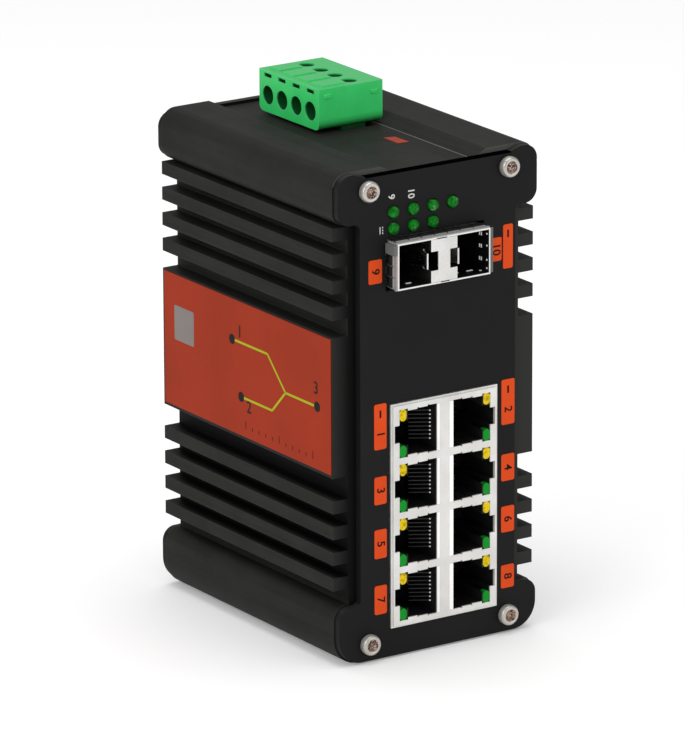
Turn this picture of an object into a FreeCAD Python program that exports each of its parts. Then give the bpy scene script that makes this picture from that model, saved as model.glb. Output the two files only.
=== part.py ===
import FreeCAD, Part
import math
import os

# DIN rail ethernet switch: a finned aluminium extrusion closed by a front and a rear plate.
# Eight RJ45 sockets, two SFP cages and seven indicators face the front (-Y).
# A pluggable screw terminal stands on top, a rail clip with a sprung latch is at the rear.
# The origin is the middle of the footprint, on the surface that the lower lobes stand on.

doc = FreeCAD.newDocument("ethernet_switch")
sheet = doc.addObject("Spreadsheet::Sheet", "Sizes")

SIZES = [
    ("body_width", 59.2, "over the lobes and the fin tips"),
    ("body_height", 125.0, "over the crowns of the lobes"),
    ("extrusion_length", 76.6, "cut length of the extrusion"),
    ("front_plate_gauge", 2.0, "front plate thickness"),
    ("rear_plate_gauge", 2.0, "rear plate thickness"),
    ("fin_depth", 4.4, "fins and lobes, out from the side walls"),
    ("side_wall", 3.0, "side wall of the extrusion"),
    ("floor_wall", 2.6, "top and bottom wall of the extrusion"),
    ("recess_depth", 2.2, "how far the top and bottom lie below the lobes"),
    ("lobe_span", 14.1, "crown of a lobe, in from the side"),
    ("recess_flank", 4.0, "width of the slope from the recess to a lobe"),
    ("slim_lobe", 13.2, "height of the top left and bottom right lobes"),
    ("deep_lobe", 15.4, "height of the top right and bottom left lobes"),
    ("lobe_crown_radius", 4.0, "outer corner radius of an upper lobe"),
    ("lobe_foot_radius", 7.0, "outer corner radius of a lower lobe"),
    ("lobe_lip_radius", 3.8, "radius where a lobe turns in to the wall"),
    ("fin_gauge", 3.3, "fin thickness"),
    ("fin_pitch", 6.6, "fin to fin"),
    ("lower_fin_height", 21.2, "height of the lowest left fin's middle"),
    ("upper_fin_height", 90.1, "height of the middle of the left fin above the pad"),
    ("pad_bottom", 48.4, "lower edge of the left label pad"),
    ("pad_height", 35.6, "height of a label pad"),
    ("right_fin_drop", 3.3, "how much lower the right side's fins and pad sit"),
    ("root_overlap", 0.5, "how far a fin's profile runs into the wall"),
    ("boss_width", 4.2, "screw boss, from the side wall inwards"),
    ("boss_height", 7.5, "screw boss, from the outside of the lobe"),
    ("screw_inset", 9.0, "corner screws, in from the sides"),
    ("screw_edge", 4.9, "corner screws, in from the top and the bottom"),
    ("screw_hole", 3.2, "screw channel and plate hole diameter"),
    ("screw_shank", 2.9, "M3 screw over the thread"),
    ("screw_length", 10.0, "screw length under the head"),
    ("screw_head", 5.5, "screw head diameter"),
    ("screw_head_height", 2.0, "screw head height"),
    ("screw_socket", 2.5, "hexagon socket across flats"),
    ("screw_socket_depth", 1.2, "depth of the hexagon socket"),
    ("guide_rib", 0.8, "board guide rib thickness"),
    ("guide_height", 2.2, "board guide rib height"),
    ("board_gauge", 1.6, "circuit board thickness"),
    ("board_play", 0.1, "play of a board in its guide"),
    ("plate_inset", 0.3, "edge of a plate inside the lobes' edges"),
    ("plate_waist_inset", 2.3, "edge of a plate inside the side walls"),
    ("plate_top_gap", 1.4, "plate's top edge below the crowns"),
    ("plate_bottom_gap", 0.5, "plate's bottom edge above the ground"),
    ("plate_blend", 1.6, "radius where a plate lobe meets the waist"),
    ("port_pitch", 13.97, "RJ45 port pitch"),
    ("port_bank_x", 1.7, "middle of the RJ45 block"),
    ("port_bank_bottom", 7.7, "lower end of the RJ45 block"),
    ("port_bank_end", 7.745, "end of the RJ45 block beyond the last port's middle"),
    ("port_bank_width", 31.6, "RJ45 block width"),
    ("port_bank_depth", 26.0, "RJ45 block depth"),
    ("port_bank_proud", 0.6, "how far the RJ45 block stands out of the plate"),
    ("port_bank_play", 0.3, "gap between a connector and its window"),
    ("shield_gauge", 0.4, "RJ45 shield sheet"),
    ("shield_margin", 0.5, "set-back margin round the shield's face"),
    ("shield_step", 0.4, "how far the margin is set back"),
    ("port_width", 11.7, "width of a plug opening, up the block"),
    ("port_step", 0.2, "steps in the edge of a plug opening"),
    ("port_notch", 0.4, "width of the small notches in the shield"),
    ("port_inner", 2.4, "inner edge of an opening from the block's middle"),
    ("port_first_step", 2.35, "first step of the edge from the inner edge"),
    ("port_second_step", 5.4, "second step of the edge from the inner edge"),
    ("port_outer_web", 0.9, "web between a latch notch and the block's side"),
    ("port_latch_depth", 1.4, "depth of a latch notch"),
    ("port_light_band", 2.4, "narrow part of an opening between the lights"),
    ("port_shoulder_width", 6.3, "opening width between the lights"),
    ("port_latch_width", 4.4, "latch notch width"),
    ("port_depth", 14.0, "depth of a plug opening"),
    ("light_width", 2.2, "port light across"),
    ("light_height", 3.0, "port light along the block"),
    ("light_length", 7.0, "port light length"),
    ("light_inset", 0.1, "port light behind the shield's face"),
    ("light_bevel", 0.7, "port light corner bevel"),
    ("contact_pitch", 1.02, "contact to contact"),
    ("contact_gauge", 0.4, "contact wire"),
    ("contact_start", 3.0, "depth at which a contact leaves the wall"),
    ("contact_reach", 4.2, "how far a contact leans out of the wall"),
    ("contact_lean", 2.6, "how much deeper a contact's tip lies"),
    ("cage_x", -0.9, "middle of the SFP cage"),
    ("cage_z", 100.8, "middle height of the SFP cage"),
    ("cage_width", 27.2, "SFP cage width"),
    ("cage_height", 11.7, "SFP cage height"),
    ("cage_proud", 4.0, "how far the cage stands out of the plate"),
    ("cage_depth", 47.0, "SFP cage depth"),
    ("cage_gauge", 0.45, "cage sheet"),
    ("cage_window_play", 0.9, "gap round the cage in the front plate"),
    ("divider_width", 7.7, "width of the plate between the cages"),
    ("divider_depth", 36.0, "depth of the divider"),
    ("latch_notch_width", 2.1, "notch for a latch tab, across"),
    ("latch_notch_height", 4.8, "notch for a latch tab, up"),
    ("latch_tab_depth", 0.9, "how far a latch tab stands into a cage"),
    ("latch_tab_length", 7.0, "length of a latch tab"),
    ("finger_bow_height", 0.7, "spring finger's bow"),
    ("finger_gauge", 0.2, "spring finger sheet"),
    ("finger_length", 4.0, "spring finger, front to back"),
    ("finger_gap", 0.35, "gap between two spring fingers"),
    ("finger_pitch", 3.8, "finger to finger above and below the cage"),
    ("side_finger_pitch", 2.8, "finger to finger at the cage's sides"),
    ("finger_band", 0.7, "band that carries the fingers"),
    ("finger_start", 0.6, "band of the fingers behind the cage's mouth"),
    ("connector_length", 7.0, "module connector, front to back"),
    ("connector_width", 6.0, "module connector across"),
    ("connector_wall", 2.4, "module connector beside its card slot"),
    ("led_x", -13.15, "left column of indicators"),
    ("led_pitch_x", 5.78, "indicator columns"),
    ("led_z", 113.7, "upper row of indicators"),
    ("led_pitch_z", 4.1, "indicator rows"),
    ("led_diameter", 3.0, "indicator diameter"),
    ("led_hole", 3.4, "hole for an indicator"),
    ("led_crown", 0.8, "height of an indicator's tapered crown"),
    ("led_crown_width", 1.7, "width of an indicator's crown at its tip"),
    ("led_proud", 1.2, "how far an indicator stands out"),
    ("led_length", 5.2, "indicator length with its crown"),
    ("lamp_pocket", 3.4, "square pocket for an indicator in its holder"),
    ("holder_margin", 2.1, "indicator holder round the indicators' centres"),
    ("holder_foot", 5.0, "foot of the holder on the power board"),
    ("main_board_x", -14.5, "component face of the main board"),
    ("main_board_top", 105.6, "upper edge of the main board"),
    ("board_front_gap", 3.0, "main board behind the front plate"),
    ("board_rear_gap", 3.0, "boards ahead of the rear plate"),
    ("power_board_z", 107.0, "underside of the power board"),
    ("power_board_front", 7.0, "power board behind the front plate's face"),
    ("power_guide", 1.6, "how far a power board guide stands in"),
    ("chip_size", 14.0, "switch chip"),
    ("chip_gauge", 1.3, "switch chip thickness"),
    ("chip_y", 42.0, "switch chip behind the front face"),
    ("chip_z", 66.0, "switch chip height"),
    ("spreader_size", 24.0, "heat spreader block"),
    ("capacitor_diameter", 8.0, "capacitor diameter"),
    ("capacitor_height", 10.0, "capacitor height"),
    ("capacitor_inset", 8.8, "capacitor's middle from the bore's right side"),
    ("capacitor_y", 26.0, "capacitor behind the front face"),
    ("inductor_size", 11.0, "inductor width"),
    ("inductor_height", 6.0, "inductor height"),
    ("inductor_x", -6.0, "inductor, left of the middle"),
    ("inductor_y", 26.0, "inductor behind the front face"),
    ("link_y", 59.0, "connector between the boards behind the front face"),
    ("link_length", 14.0, "connector between the boards, front to back"),
    ("link_width", 4.0, "connector between the boards, across"),
    ("link_height", 8.0, "connector between the boards, up"),
    ("pole_pitch", 6.35, "terminal pole pitch"),
    ("plug_x", 2.8, "middle of the terminal plug's body"),
    ("plug_y", 55.6, "middle of the plug behind the front face"),
    ("plug_width", 18.9, "plug from the wire face to its back"),
    ("plug_margin", 1.4, "plug length beyond its poles"),
    ("plug_height", 10.6, "plug body height"),
    ("plug_lift", 0.8, "plug body above the recessed top"),
    ("plug_foot_radius", 1.6, "radius along the plug's lower end edges"),
    ("mate_x", 4.9, "middle of the header and of the clamps"),
    ("tongue_width", 7.0, "plug tongue width"),
    ("tongue_length", 7.0, "plug tongue below the body"),
    ("tongue_inset", 1.2, "tongue end short of the row of poles"),
    ("tongue_play", 0.25, "play of the tongue in the header"),
    ("header_wall", 0.8, "header wall"),
    ("header_top_gap", 2.0, "header's mouth below the recessed top"),
    ("header_floor", 3.0, "header floor thickness"),
    ("header_window", 0.7, "gap round the header in the top wall"),
    ("pin_gauge", 1.0, "header pin"),
    ("pin_height", 8.0, "header pin above the header's floor"),
    ("pin_socket", 1.8, "hole in the tongue for a pin"),
    ("wire_mouth", 4.8, "round mouth of a wire entry"),
    ("wire_mouth_depth", 3.4, "depth of the round mouth"),
    ("wire_bore", 3.2, "square passage behind the mouth"),
    ("wire_height", 4.4, "middle of a wire entry above the plug's bottom"),
    ("clamp_length", 5.2, "clamp cage along the wire"),
    ("clamp_width", 4.4, "clamp cage across"),
    ("clamp_height", 5.4, "clamp cage height"),
    ("clamp_play", 0.1, "play of a clamp in its chamber"),
    ("clamp_screw_head", 3.4, "clamp screw head"),
    ("clamp_screw_shank", 2.2, "clamp screw shank"),
    ("clamp_head_gap", 0.3, "clamp screw head above the clamp"),
    ("clamp_head_height", 1.4, "clamp screw head height"),
    ("driver_slot_width", 0.6, "slot in a clamp screw"),
    ("driver_slot_depth", 0.7, "depth of the slot in a clamp screw"),
    ("screw_well", 4.2, "screw access hole in the plug"),
    ("marker_inset", 1.9, "raised marker behind the wire face"),
    ("marker_length", 7.0, "raised marker on top of a pole"),
    ("marker_width", 4.4, "raised marker width"),
    ("marker_height", 0.45, "raised marker height"),
    ("test_slot_width", 3.3, "test slot over a wire entry"),
    ("test_slot_height", 1.0, "test slot height"),
    ("test_slot_depth", 1.4, "test slot depth"),
    ("test_slot_z", 9.45, "test slot above the plug's bottom"),
    ("label_gauge", 0.2, "label thickness"),
    ("label_front", 0.6, "label behind the extrusion's front end"),
    ("label_length", 75.2, "side label length"),
    ("label_bottom", 49.2, "side label's lower edge"),
    ("label_height", 34.4, "side label height"),
    ("rail_z", 66.0, "middle height of the DIN rail"),
    ("rail_height", 35.0, "DIN rail width over its lips"),
    ("rail_lip", 1.0, "DIN rail lip thickness"),
    ("rail_play", 0.4, "play of a lip behind a hook"),
    ("clip_width", 24.0, "rail clip width"),
    ("clip_gauge", 2.6, "rail clip base thickness"),
    ("clip_depth", 8.2, "rail clip from the rear plate to its back"),
    ("clip_bottom", 30.6, "lower edge of the clip's base"),
    ("hook_overlap", 2.6, "how far a hook laps a lip"),
    ("hook_web", 4.0, "height of the web over the hook"),
    ("latch_width", 14.4, "latch flange width"),
    ("latch_neck", 9.2, "latch neck width"),
    ("latch_flange", 2.0, "latch flange thickness"),
    ("latch_play", 0.3, "running gap round the latch"),
    ("latch_tail", 8.0, "length of the latch's pull below the clip"),
    ("cheek_height", 11.0, "height of the clip's cheeks"),
    ("spring_diameter", 3.8, "latch spring outside diameter"),
    ("spring_wire", 0.6, "latch spring wire"),
    ("spring_length", 8.4, "latch spring, closed"),
    ("post_height", 2.0, "spring post on the clip, up"),
    ("post_width", 3.6, "spring post across"),
    ("clip_screw_spacing", 18.0, "clip screw to clip screw"),
    ("clip_screw_head", 5.6, "clip screw head diameter"),
    ("clip_head_sink", 1.4, "depth of the counterbore for a clip screw"),
    ("clip_screw_length", 6.0, "clip screw length"),
]

for row, (alias, value, note) in enumerate(SIZES, start=1):
    sheet.set("A%d" % row, alias)
    sheet.set("B%d" % row, str(value))
    sheet.set("C%d" % row, note)
    sheet.setAlias("B%d" % row, alias)
doc.recompute()


class Size:
    """A number together with the sheet formula that gives it."""

    def __init__(self, number, formula):
        self.number = float(number)
        self.formula = formula

    def __add__(self, other):
        other = as_size(other)
        return Size(self.number + other.number, "(%s + %s)" % (self.formula, other.formula))

    def __radd__(self, other):
        return as_size(other) + self

    def __sub__(self, other):
        other = as_size(other)
        return Size(self.number - other.number, "(%s - %s)" % (self.formula, other.formula))

    def __rsub__(self, other):
        return as_size(other) - self

    def __mul__(self, other):
        other = as_size(other)
        return Size(self.number * other.number, "(%s * %s)" % (self.formula, other.formula))

    def __rmul__(self, other):
        return as_size(other) * self

    def __truediv__(self, other):
        other = as_size(other)
        return Size(self.number / other.number, "(%s / %s)" % (self.formula, other.formula))

    def __neg__(self):
        return Size(-self.number, "(0 - %s)" % self.formula)


def as_size(value):
    if isinstance(value, Size):
        return value
    return Size(value, "(%s)" % repr(float(value)))


def size(alias):
    return Size(sheet.get(alias), "Sizes.%s" % alias)


S = {alias: size(alias) for alias, value, note in SIZES}

# Main planes and places that several pieces share.
half_width = S["body_width"] / 2
half_core = half_width - S["fin_depth"]
half_bore = half_core - S["side_wall"]
height = S["body_height"]
closed_depth = S["front_plate_gauge"] + S["extrusion_length"] + S["rear_plate_gauge"]
front = (S["cage_proud"] - closed_depth - S["clip_depth"]) / 2
plate_back = front + S["front_plate_gauge"]
extrusion_back = plate_back + S["extrusion_length"]
rear = extrusion_back + S["rear_plate_gauge"]
recess_top = height - S["recess_depth"]
bore_top = recess_top - S["floor_wall"]
bore_bottom = S["recess_depth"] + S["floor_wall"]
bank_front = front - S["port_bank_proud"]
cage_front = front - S["cage_proud"]
screw_x = half_width - S["screw_inset"]
board_foot = S["boss_height"] + S["board_play"]
PORT_ROWS = 4
bank_low = S["port_bank_bottom"]
bank_high = bank_low + S["port_pitch"] * (PORT_ROWS - 1) + S["port_bank_end"] * 2
parts = []


def keep(shape_object, label):
    """Name a finished sub-part; its label is the name of its file."""
    shape_object.Label = label
    parts.append(shape_object)
    return shape_object


def tie(target, prop, value):
    target.setExpression(prop, as_size(value).formula)


def place(target, x, y, z):
    base = FreeCAD.Vector(as_size(x).number, as_size(y).number, as_size(z).number)
    target.Placement = FreeCAD.Placement(base, target.Placement.Rotation)
    tie(target, ".Placement.Base.x", x)
    tie(target, ".Placement.Base.y", y)
    tie(target, ".Placement.Base.z", z)
    return target


def box(name, low, high):
    """A block between two opposite corners."""
    block = doc.addObject("Part::Box", name)
    for prop, start, end in zip(("Length", "Width", "Height"), low, high):
        tie(block, prop, as_size(end) - start)
    return place(block, *low)


TURNS = {
    "x": FreeCAD.Rotation(FreeCAD.Vector(0, 1, 0), 90),
    "y": FreeCAD.Rotation(FreeCAD.Vector(1, 0, 0), -90),
    "z": FreeCAD.Rotation(),
}


def rod(name, axis, start, radius, length):
    """A cylinder that runs from its start along +X, +Y or +Z."""
    cylinder = doc.addObject("Part::Cylinder", name)
    tie(cylinder, "Radius", radius)
    tie(cylinder, "Height", length)
    cylinder.Placement = FreeCAD.Placement(FreeCAD.Vector(), TURNS[axis])
    return place(cylinder, *start)


def prism(name, axis, start, radius, length, sides):
    """A prism with a regular outline; the radius is that of its corners."""
    bar = doc.addObject("Part::Prism", name)
    bar.Polygon = sides
    tie(bar, "Circumradius", radius)
    tie(bar, "Height", length)
    bar.Placement = FreeCAD.Placement(FreeCAD.Vector(), TURNS[axis])
    return place(bar, *start)


def hexagon(name, start, across_flats, length):
    """A hexagonal prism along +Y."""
    return prism(name, "y", start, across_flats * (1 / math.sqrt(3)), length, 6)


def fuse(name, shapes):
    joined = doc.addObject("Part::MultiFuse", name)
    joined.Shapes = shapes
    joined.Refine = True
    return joined


def group(name, shapes):
    compound = doc.addObject("Part::Compound", name)
    compound.Links = shapes
    return compound


def cut(name, base, tools):
    if not isinstance(tools, list):
        tools = [tools]
    result = doc.addObject("Part::Cut", name)
    result.Base = base
    result.Tool = tools[0] if len(tools) == 1 else group(name + "_tools", tools)
    return result


def new_body(label):
    return keep(doc.addObject("PartDesign::Body", label), label)


def plane_of(body, role):
    return [feature for feature in body.Origin.OriginFeatures if feature.Role == role][0]


def draw(body, name, role, shift, loops, circles=()):
    """A sketch of straight-sided loops and circles, every point tied to the sheet."""
    sketch = body.newObject("Sketcher::SketchObject", name)
    sketch.AttachmentSupport = [(plane_of(body, role), "")]
    sketch.MapMode = "FlatFace"
    tie(sketch, "AttachmentOffset.Base.z", shift)
    shapes = []
    constraints = []
    formulas = []

    def pin_point(geometry, position, u, v):
        """Hold one point of the sketch at two sheet formulas."""
        for kind, value in (("DistanceX", as_size(u)), ("DistanceY", as_size(v))):
            constraints.append(Sketcher.Constraint(kind, -1, 1, geometry, position, value.number))
            formulas.append(value.formula)

    for loop in loops:
        first = len(shapes)
        points = [FreeCAD.Vector(as_size(u).number, as_size(v).number, 0) for u, v in loop]
        for index, (u, v) in enumerate(loop):
            after = (index + 1) % len(loop)
            shapes.append(Part.LineSegment(points[index], points[after]))
            constraints.append(
                Sketcher.Constraint("Coincident", first + index, 2, first + after, 1))
            formulas.append(None)
            pin_point(first + index, 1, u, v)
    for u, v, radius in circles:
        centre = FreeCAD.Vector(as_size(u).number, as_size(v).number, 0)
        index = len(shapes)
        shapes.append(Part.Circle(centre, FreeCAD.Vector(0, 0, 1), as_size(radius).number))
        constraints.append(Sketcher.Constraint("Radius", index, as_size(radius).number))
        formulas.append(as_size(radius).formula)
        pin_point(index, 3, u, v)
    sketch.addGeometry(shapes, False)
    sketch.addConstraint(constraints)
    for index, formula in enumerate(formulas):
        if formula:
            sketch.setExpression("Constraints[%d]" % index, formula)
    return sketch


def pad(body, sketch, name, length, reverse=False):
    feature = body.newObject("PartDesign::Pad", name)
    feature.Profile = sketch
    tie(feature, "Length", length)
    feature.Reversed = reverse
    doc.recompute()
    return feature


def pocket(body, sketch, name, length=None, reverse=False):
    """A pocket, with a check that it has taken material away."""
    before = body.Shape.Volume
    feature = body.newObject("PartDesign::Pocket", name)
    feature.Profile = sketch
    feature.Reversed = reverse
    if length is None:
        feature.Type = "ThroughAll"
    else:
        tie(feature, "Length", length)
    doc.recompute()
    if not body.Shape.Volume < before:
        raise ValueError("%s cuts nothing" % name)
    return feature


def edges_along(shape, axis, places, slack=0.01):
    """Names of the straight edges that run along an axis through the given places."""
    others = [index for index in range(3) if index != axis]
    names = []
    for number, edge in enumerate(shape.Edges, start=1):
        ends = [vertex.Point for vertex in edge.Vertexes]
        if len(ends) != 2 or abs(ends[0][axis] - ends[1][axis]) < 0.5:
            continue
        if any(abs(ends[0][index] - ends[1][index]) > slack for index in others):
            continue
        for spot in places:
            gaps = [abs(ends[0][index] - as_size(value).number)
                    for index, value in zip(others, spot)]
            if max(gaps) < slack:
                names.append("Edge%d" % number)
                break
    return names


def round_edges(body, name, axis, places, radius):
    base = body.Tip
    names = edges_along(base.Shape, axis, places)
    if not names:
        raise ValueError("%s finds no edge" % name)
    feature = body.newObject("PartDesign::Fillet", name)
    feature.Base = (base, names)
    tie(feature, "Radius", radius)
    doc.recompute()
    return feature


def rectangle(left, right, low, high):
    return [(left, low), (right, low), (right, high), (left, high)]


def faceted_ring(u, v, radius, sides):
    """Corners of a many-sided hole that stands for a round one."""
    turns = [2 * math.pi * index / sides for index in range(sides)]
    return [(u + radius * math.cos(turn), v + radius * math.sin(turn)) for turn in turns]


def compound_feature(name, solids):
    feature = doc.addObject("Part::Feature", name)
    feature.Shape = Part.makeCompound(solids)
    feature.Placement = FreeCAD.Placement()
    return feature


def flat_face(*points):
    return Part.Face(Part.makePolygon(list(points) + [points[0]]))


import Sketcher


# Housing: one extrusion with lobes at its corners, fins and a label pad on both sides.
def make_housing():
    body = new_body("housing_extrusion")
    crown = half_width - S["lobe_span"]
    flat = crown - S["recess_flank"]
    slim = S["slim_lobe"]
    deep = S["deep_lobe"]
    section = [
        (flat, S["recess_depth"]), (crown, 0), (half_width, 0), (half_width, slim),
        (half_core, slim), (half_core, height - deep), (half_width, height - deep),
        (half_width, height), (crown, height), (flat, recess_top), (-flat, recess_top),
        (-crown, height), (-half_width, height), (-half_width, height - slim),
        (-half_core, height - slim), (-half_core, deep), (-half_width, deep),
        (-half_width, 0), (-crown, 0), (-flat, S["recess_depth"]),
    ]
    pad(body, draw(body, "section", "XZ_Plane", -plate_back, [section]),
        "extrude_section", S["extrusion_length"], True)
    crowns = [(side * half_width, height) for side in (-1, 1)]
    round_edges(body, "round_crowns", 1, crowns, S["lobe_crown_radius"])
    feet = [(side * half_width, as_size(0)) for side in (-1, 1)]
    round_edges(body, "round_feet", 1, feet, S["lobe_foot_radius"])
    lips = [(half_width, slim), (half_width, height - deep),
            (-half_width, height - slim), (-half_width, deep)]
    round_edges(body, "round_lips", 1, lips, S["lobe_lip_radius"])

    for side, drop in ((-1, as_size(0)), (1, S["right_fin_drop"])):
        word = "left" if side < 0 else "right"
        tip = side * half_width
        root = side * (half_core - S["root_overlap"])
        for group_name, start in (("lower", S["lower_fin_height"]), ("upper", S["upper_fin_height"])):
            low = start - drop - S["fin_gauge"] / 2
            profile = rectangle(root, tip, low, low + S["fin_gauge"])
            sketch = draw(body, "%s_%s_fin" % (word, group_name), "XZ_Plane", -plate_back, [profile])
            fin = pad(body, sketch, "%s_%s_fin_pad" % (word, group_name),
                      S["extrusion_length"], True)
            pattern = body.newObject("PartDesign::LinearPattern", "%s_%s_fins" % (word, group_name))
            pattern.Originals = [fin]
            pattern.Direction = (sketch, ["V_Axis"])
            pattern.Occurrences = FIN_COUNT
            tie(pattern, "Length", S["fin_pitch"] * (FIN_COUNT - 1))
            body.Tip = pattern
            doc.recompute()
        low = S["pad_bottom"] - drop
        profile = rectangle(root, tip, low, low + S["pad_height"])
        pad(body, draw(body, "%s_pad" % word, "XZ_Plane", -plate_back, [profile]),
            "%s_label_pad" % word, S["extrusion_length"], True)

    boss = half_bore - S["boss_width"]
    rise = S["boss_height"]
    bore = [
        (boss, bore_bottom), (boss, rise), (half_bore, rise), (half_bore, height - rise),
        (boss, height - rise), (boss, bore_top), (-boss, bore_top), (-boss, height - rise),
        (-half_bore, height - rise), (-half_bore, rise), (-boss, rise), (-boss, bore_bottom),
    ]
    pocket(body, draw(body, "bore", "XZ_Plane", -plate_back, [bore]), "bore_pocket")

    board_left = S["main_board_x"] - S["board_gauge"] - S["board_play"]
    ledge_low = bore_bottom - S["root_overlap"]
    ledge_high = S["boss_height"]
    rib_left = board_left - S["guide_rib"]
    rib_high = ledge_high + S["guide_height"]
    shelf_high = S["power_board_z"] - S["board_play"]
    shelf_low = shelf_high - S["guide_height"]
    roof_low = S["main_board_top"] + S["board_play"]
    over_low = S["power_board_z"] + S["board_gauge"] + S["board_play"]
    over_high = over_low + S["guide_rib"]
    into_wall = half_bore + S["root_overlap"]
    guides = [
        [(rib_left, ledge_low), (S["main_board_x"], ledge_low), (S["main_board_x"], ledge_high),
         (board_left, ledge_high), (board_left, rib_high), (rib_left, rib_high)],
        [(-into_wall, shelf_low), (board_left, shelf_low), (board_left, roof_low),
         (S["main_board_x"], roof_low), (S["main_board_x"], shelf_high), (-into_wall, shelf_high)],
        rectangle(half_bore - S["power_guide"], into_wall, shelf_high - S["guide_rib"], shelf_high),
        rectangle(-into_wall, S["power_guide"] - half_bore, over_low, over_high),
        rectangle(half_bore - S["power_guide"], into_wall, over_low, over_high),
    ]
    pad(body, draw(body, "guides", "XZ_Plane", -plate_back, guides), "board_guides",
        S["extrusion_length"], True)

    pocket(body, draw(body, "channels", "XZ_Plane", -plate_back, corner_screw_rings()),
           "screw_channels")

    window_x = header_half_width + S["header_window"]
    window_y = header_half_length + S["header_window"]
    window = rectangle(S["mate_x"] - window_x, S["mate_x"] + window_x,
                       plug_middle - window_y, plug_middle + window_y)
    pocket(body, draw(body, "terminal_window", "XY_Plane", height, [window]),
           "terminal_opening", S["recess_depth"] + S["floor_wall"] + 1)
    return body


def corner_screw_rings():
    levels = (S["screw_edge"], height - S["screw_edge"])
    return [faceted_ring(side * screw_x, level, S["screw_hole"] / 2, 12)
            for side in (-1, 1) for level in levels]


FIN_COUNT = 4
POLES = 4
header_half_width = S["tongue_width"] / 2 + S["tongue_play"] + S["header_wall"]
tongue_half_length = (S["pole_pitch"] * POLES) / 2 - S["tongue_inset"]
header_half_length = tongue_half_length + S["tongue_play"] + S["header_wall"]
plug_middle = front + S["plug_y"]


# Front and rear plates: the same dog-bone outline, held by a screw in each lobe.
def plate_outline():
    waist = half_core - S["plate_waist_inset"]
    lobe = half_width - S["plate_inset"]
    low = S["plate_bottom_gap"]
    high = height - S["plate_top_gap"]
    slim = S["slim_lobe"] - S["plate_inset"]
    deep = S["deep_lobe"] - S["plate_inset"]
    return [
        (lobe, low), (lobe, slim), (waist, slim), (waist, height - deep), (lobe, height - deep),
        (lobe, high), (-lobe, high), (-lobe, height - slim), (-waist, height - slim),
        (-waist, deep), (-lobe, deep), (-lobe, low),
    ]


def make_plate(label, start, gauge):
    body = new_body(label)
    outline = plate_outline()
    pad(body, draw(body, label + "_outline", "XZ_Plane", -start, [outline]),
        label + "_blank", gauge, True)
    inset = S["plate_inset"]
    round_edges(body, label + "_feet", 1, [outline[0], outline[11]],
                S["lobe_foot_radius"] - inset)
    round_edges(body, label + "_crowns", 1, [outline[5], outline[6]],
                S["lobe_crown_radius"] - inset)
    round_edges(body, label + "_lips", 1, [outline[1], outline[4], outline[7], outline[10]],
                S["lobe_lip_radius"] - inset)
    round_edges(body, label + "_blends", 1, [outline[2], outline[3], outline[8], outline[9]],
                S["plate_blend"])
    pocket(body, draw(body, label + "_holes", "XZ_Plane", -start, corner_screw_rings()),
           label + "_screw_holes")
    return body


def led_centres():
    spots = [(column, 0) for column in range(4)] + [(column, 1) for column in range(3)]
    return [(S["led_x"] + S["led_pitch_x"] * column, S["led_z"] - S["led_pitch_z"] * row_number)
            for column, row_number in spots]


def make_front_plate():
    body = make_plate("front_plate", front, S["front_plate_gauge"])
    bank_x = S["port_bank_width"] / 2 + S["port_bank_play"]
    cage_x = S["cage_width"] / 2 + S["cage_window_play"]
    cage_z = S["cage_height"] / 2 + S["cage_window_play"]
    windows = [
        rectangle(S["port_bank_x"] - bank_x, S["port_bank_x"] + bank_x,
                  bank_low - S["port_bank_play"], bank_high + S["port_bank_play"]),
        rectangle(S["cage_x"] - cage_x, S["cage_x"] + cage_x,
                  S["cage_z"] - cage_z, S["cage_z"] + cage_z),
    ]
    holes = [faceted_ring(x, z, S["led_hole"] / 2, 16) for x, z in led_centres()]
    pocket(body, draw(body, "connector_windows", "XZ_Plane", -front, windows + holes),
           "connector_openings")
    return body


def make_rear_plate():
    body = make_plate("rear_plate", extrusion_back, S["rear_plate_gauge"])
    spacing = S["clip_screw_spacing"] / 2
    holes = [faceted_ring(as_size(0), S["rail_z"] + side * spacing, S["screw_hole"] / 2, 12)
             for side in (-1, 1)]
    pocket(body, draw(body, "clip_holes", "XZ_Plane", -extrusion_back, holes),
           "clip_screw_holes")
    return body


# Socket screws: a head with a hexagon socket and a shank in the channel.
def make_corner_screws(label, face, outward):
    """Four screws with their heads on a plate's outer face; outward is -1 for the front."""
    screws = []
    head_height = S["screw_head_height"]
    depth = S["screw_socket_depth"]
    for side in (-1, 1):
        for level in (S["screw_edge"], height - S["screw_edge"]):
            x = side * screw_x
            head_start = face - head_height if outward < 0 else face
            shank_start = face if outward < 0 else face - S["screw_length"]
            socket_start = face - head_height if outward < 0 else face + head_height - depth
            head = rod("head", "y", (x, head_start, level), S["screw_head"] / 2, head_height)
            shank = prism("shank", "y", (x, shank_start, level), S["screw_shank"] / 2,
                          S["screw_length"], 12)
            socket = hexagon("socket", (x, socket_start, level), S["screw_socket"], depth)
            screws.append(cut("screw", fuse("screw_blank", [head, shank]), socket))
    return keep(group(label, screws), label)


# RJ45 block: two columns of four sockets, latches outwards, in one folded shield.
latch_edge = S["port_bank_width"] / 2 - S["port_outer_web"]
outer_edge = latch_edge - S["port_latch_depth"]
shoulder_edge = outer_edge - S["port_light_band"]
first_step = S["port_inner"] + S["port_first_step"]
second_step = S["port_inner"] + S["port_second_step"]


def port_middles():
    last = bank_low + S["port_bank_end"]
    return [last + S["port_pitch"] * (PORT_ROWS - 1 - row_number)
            for row_number in range(PORT_ROWS)]


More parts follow.
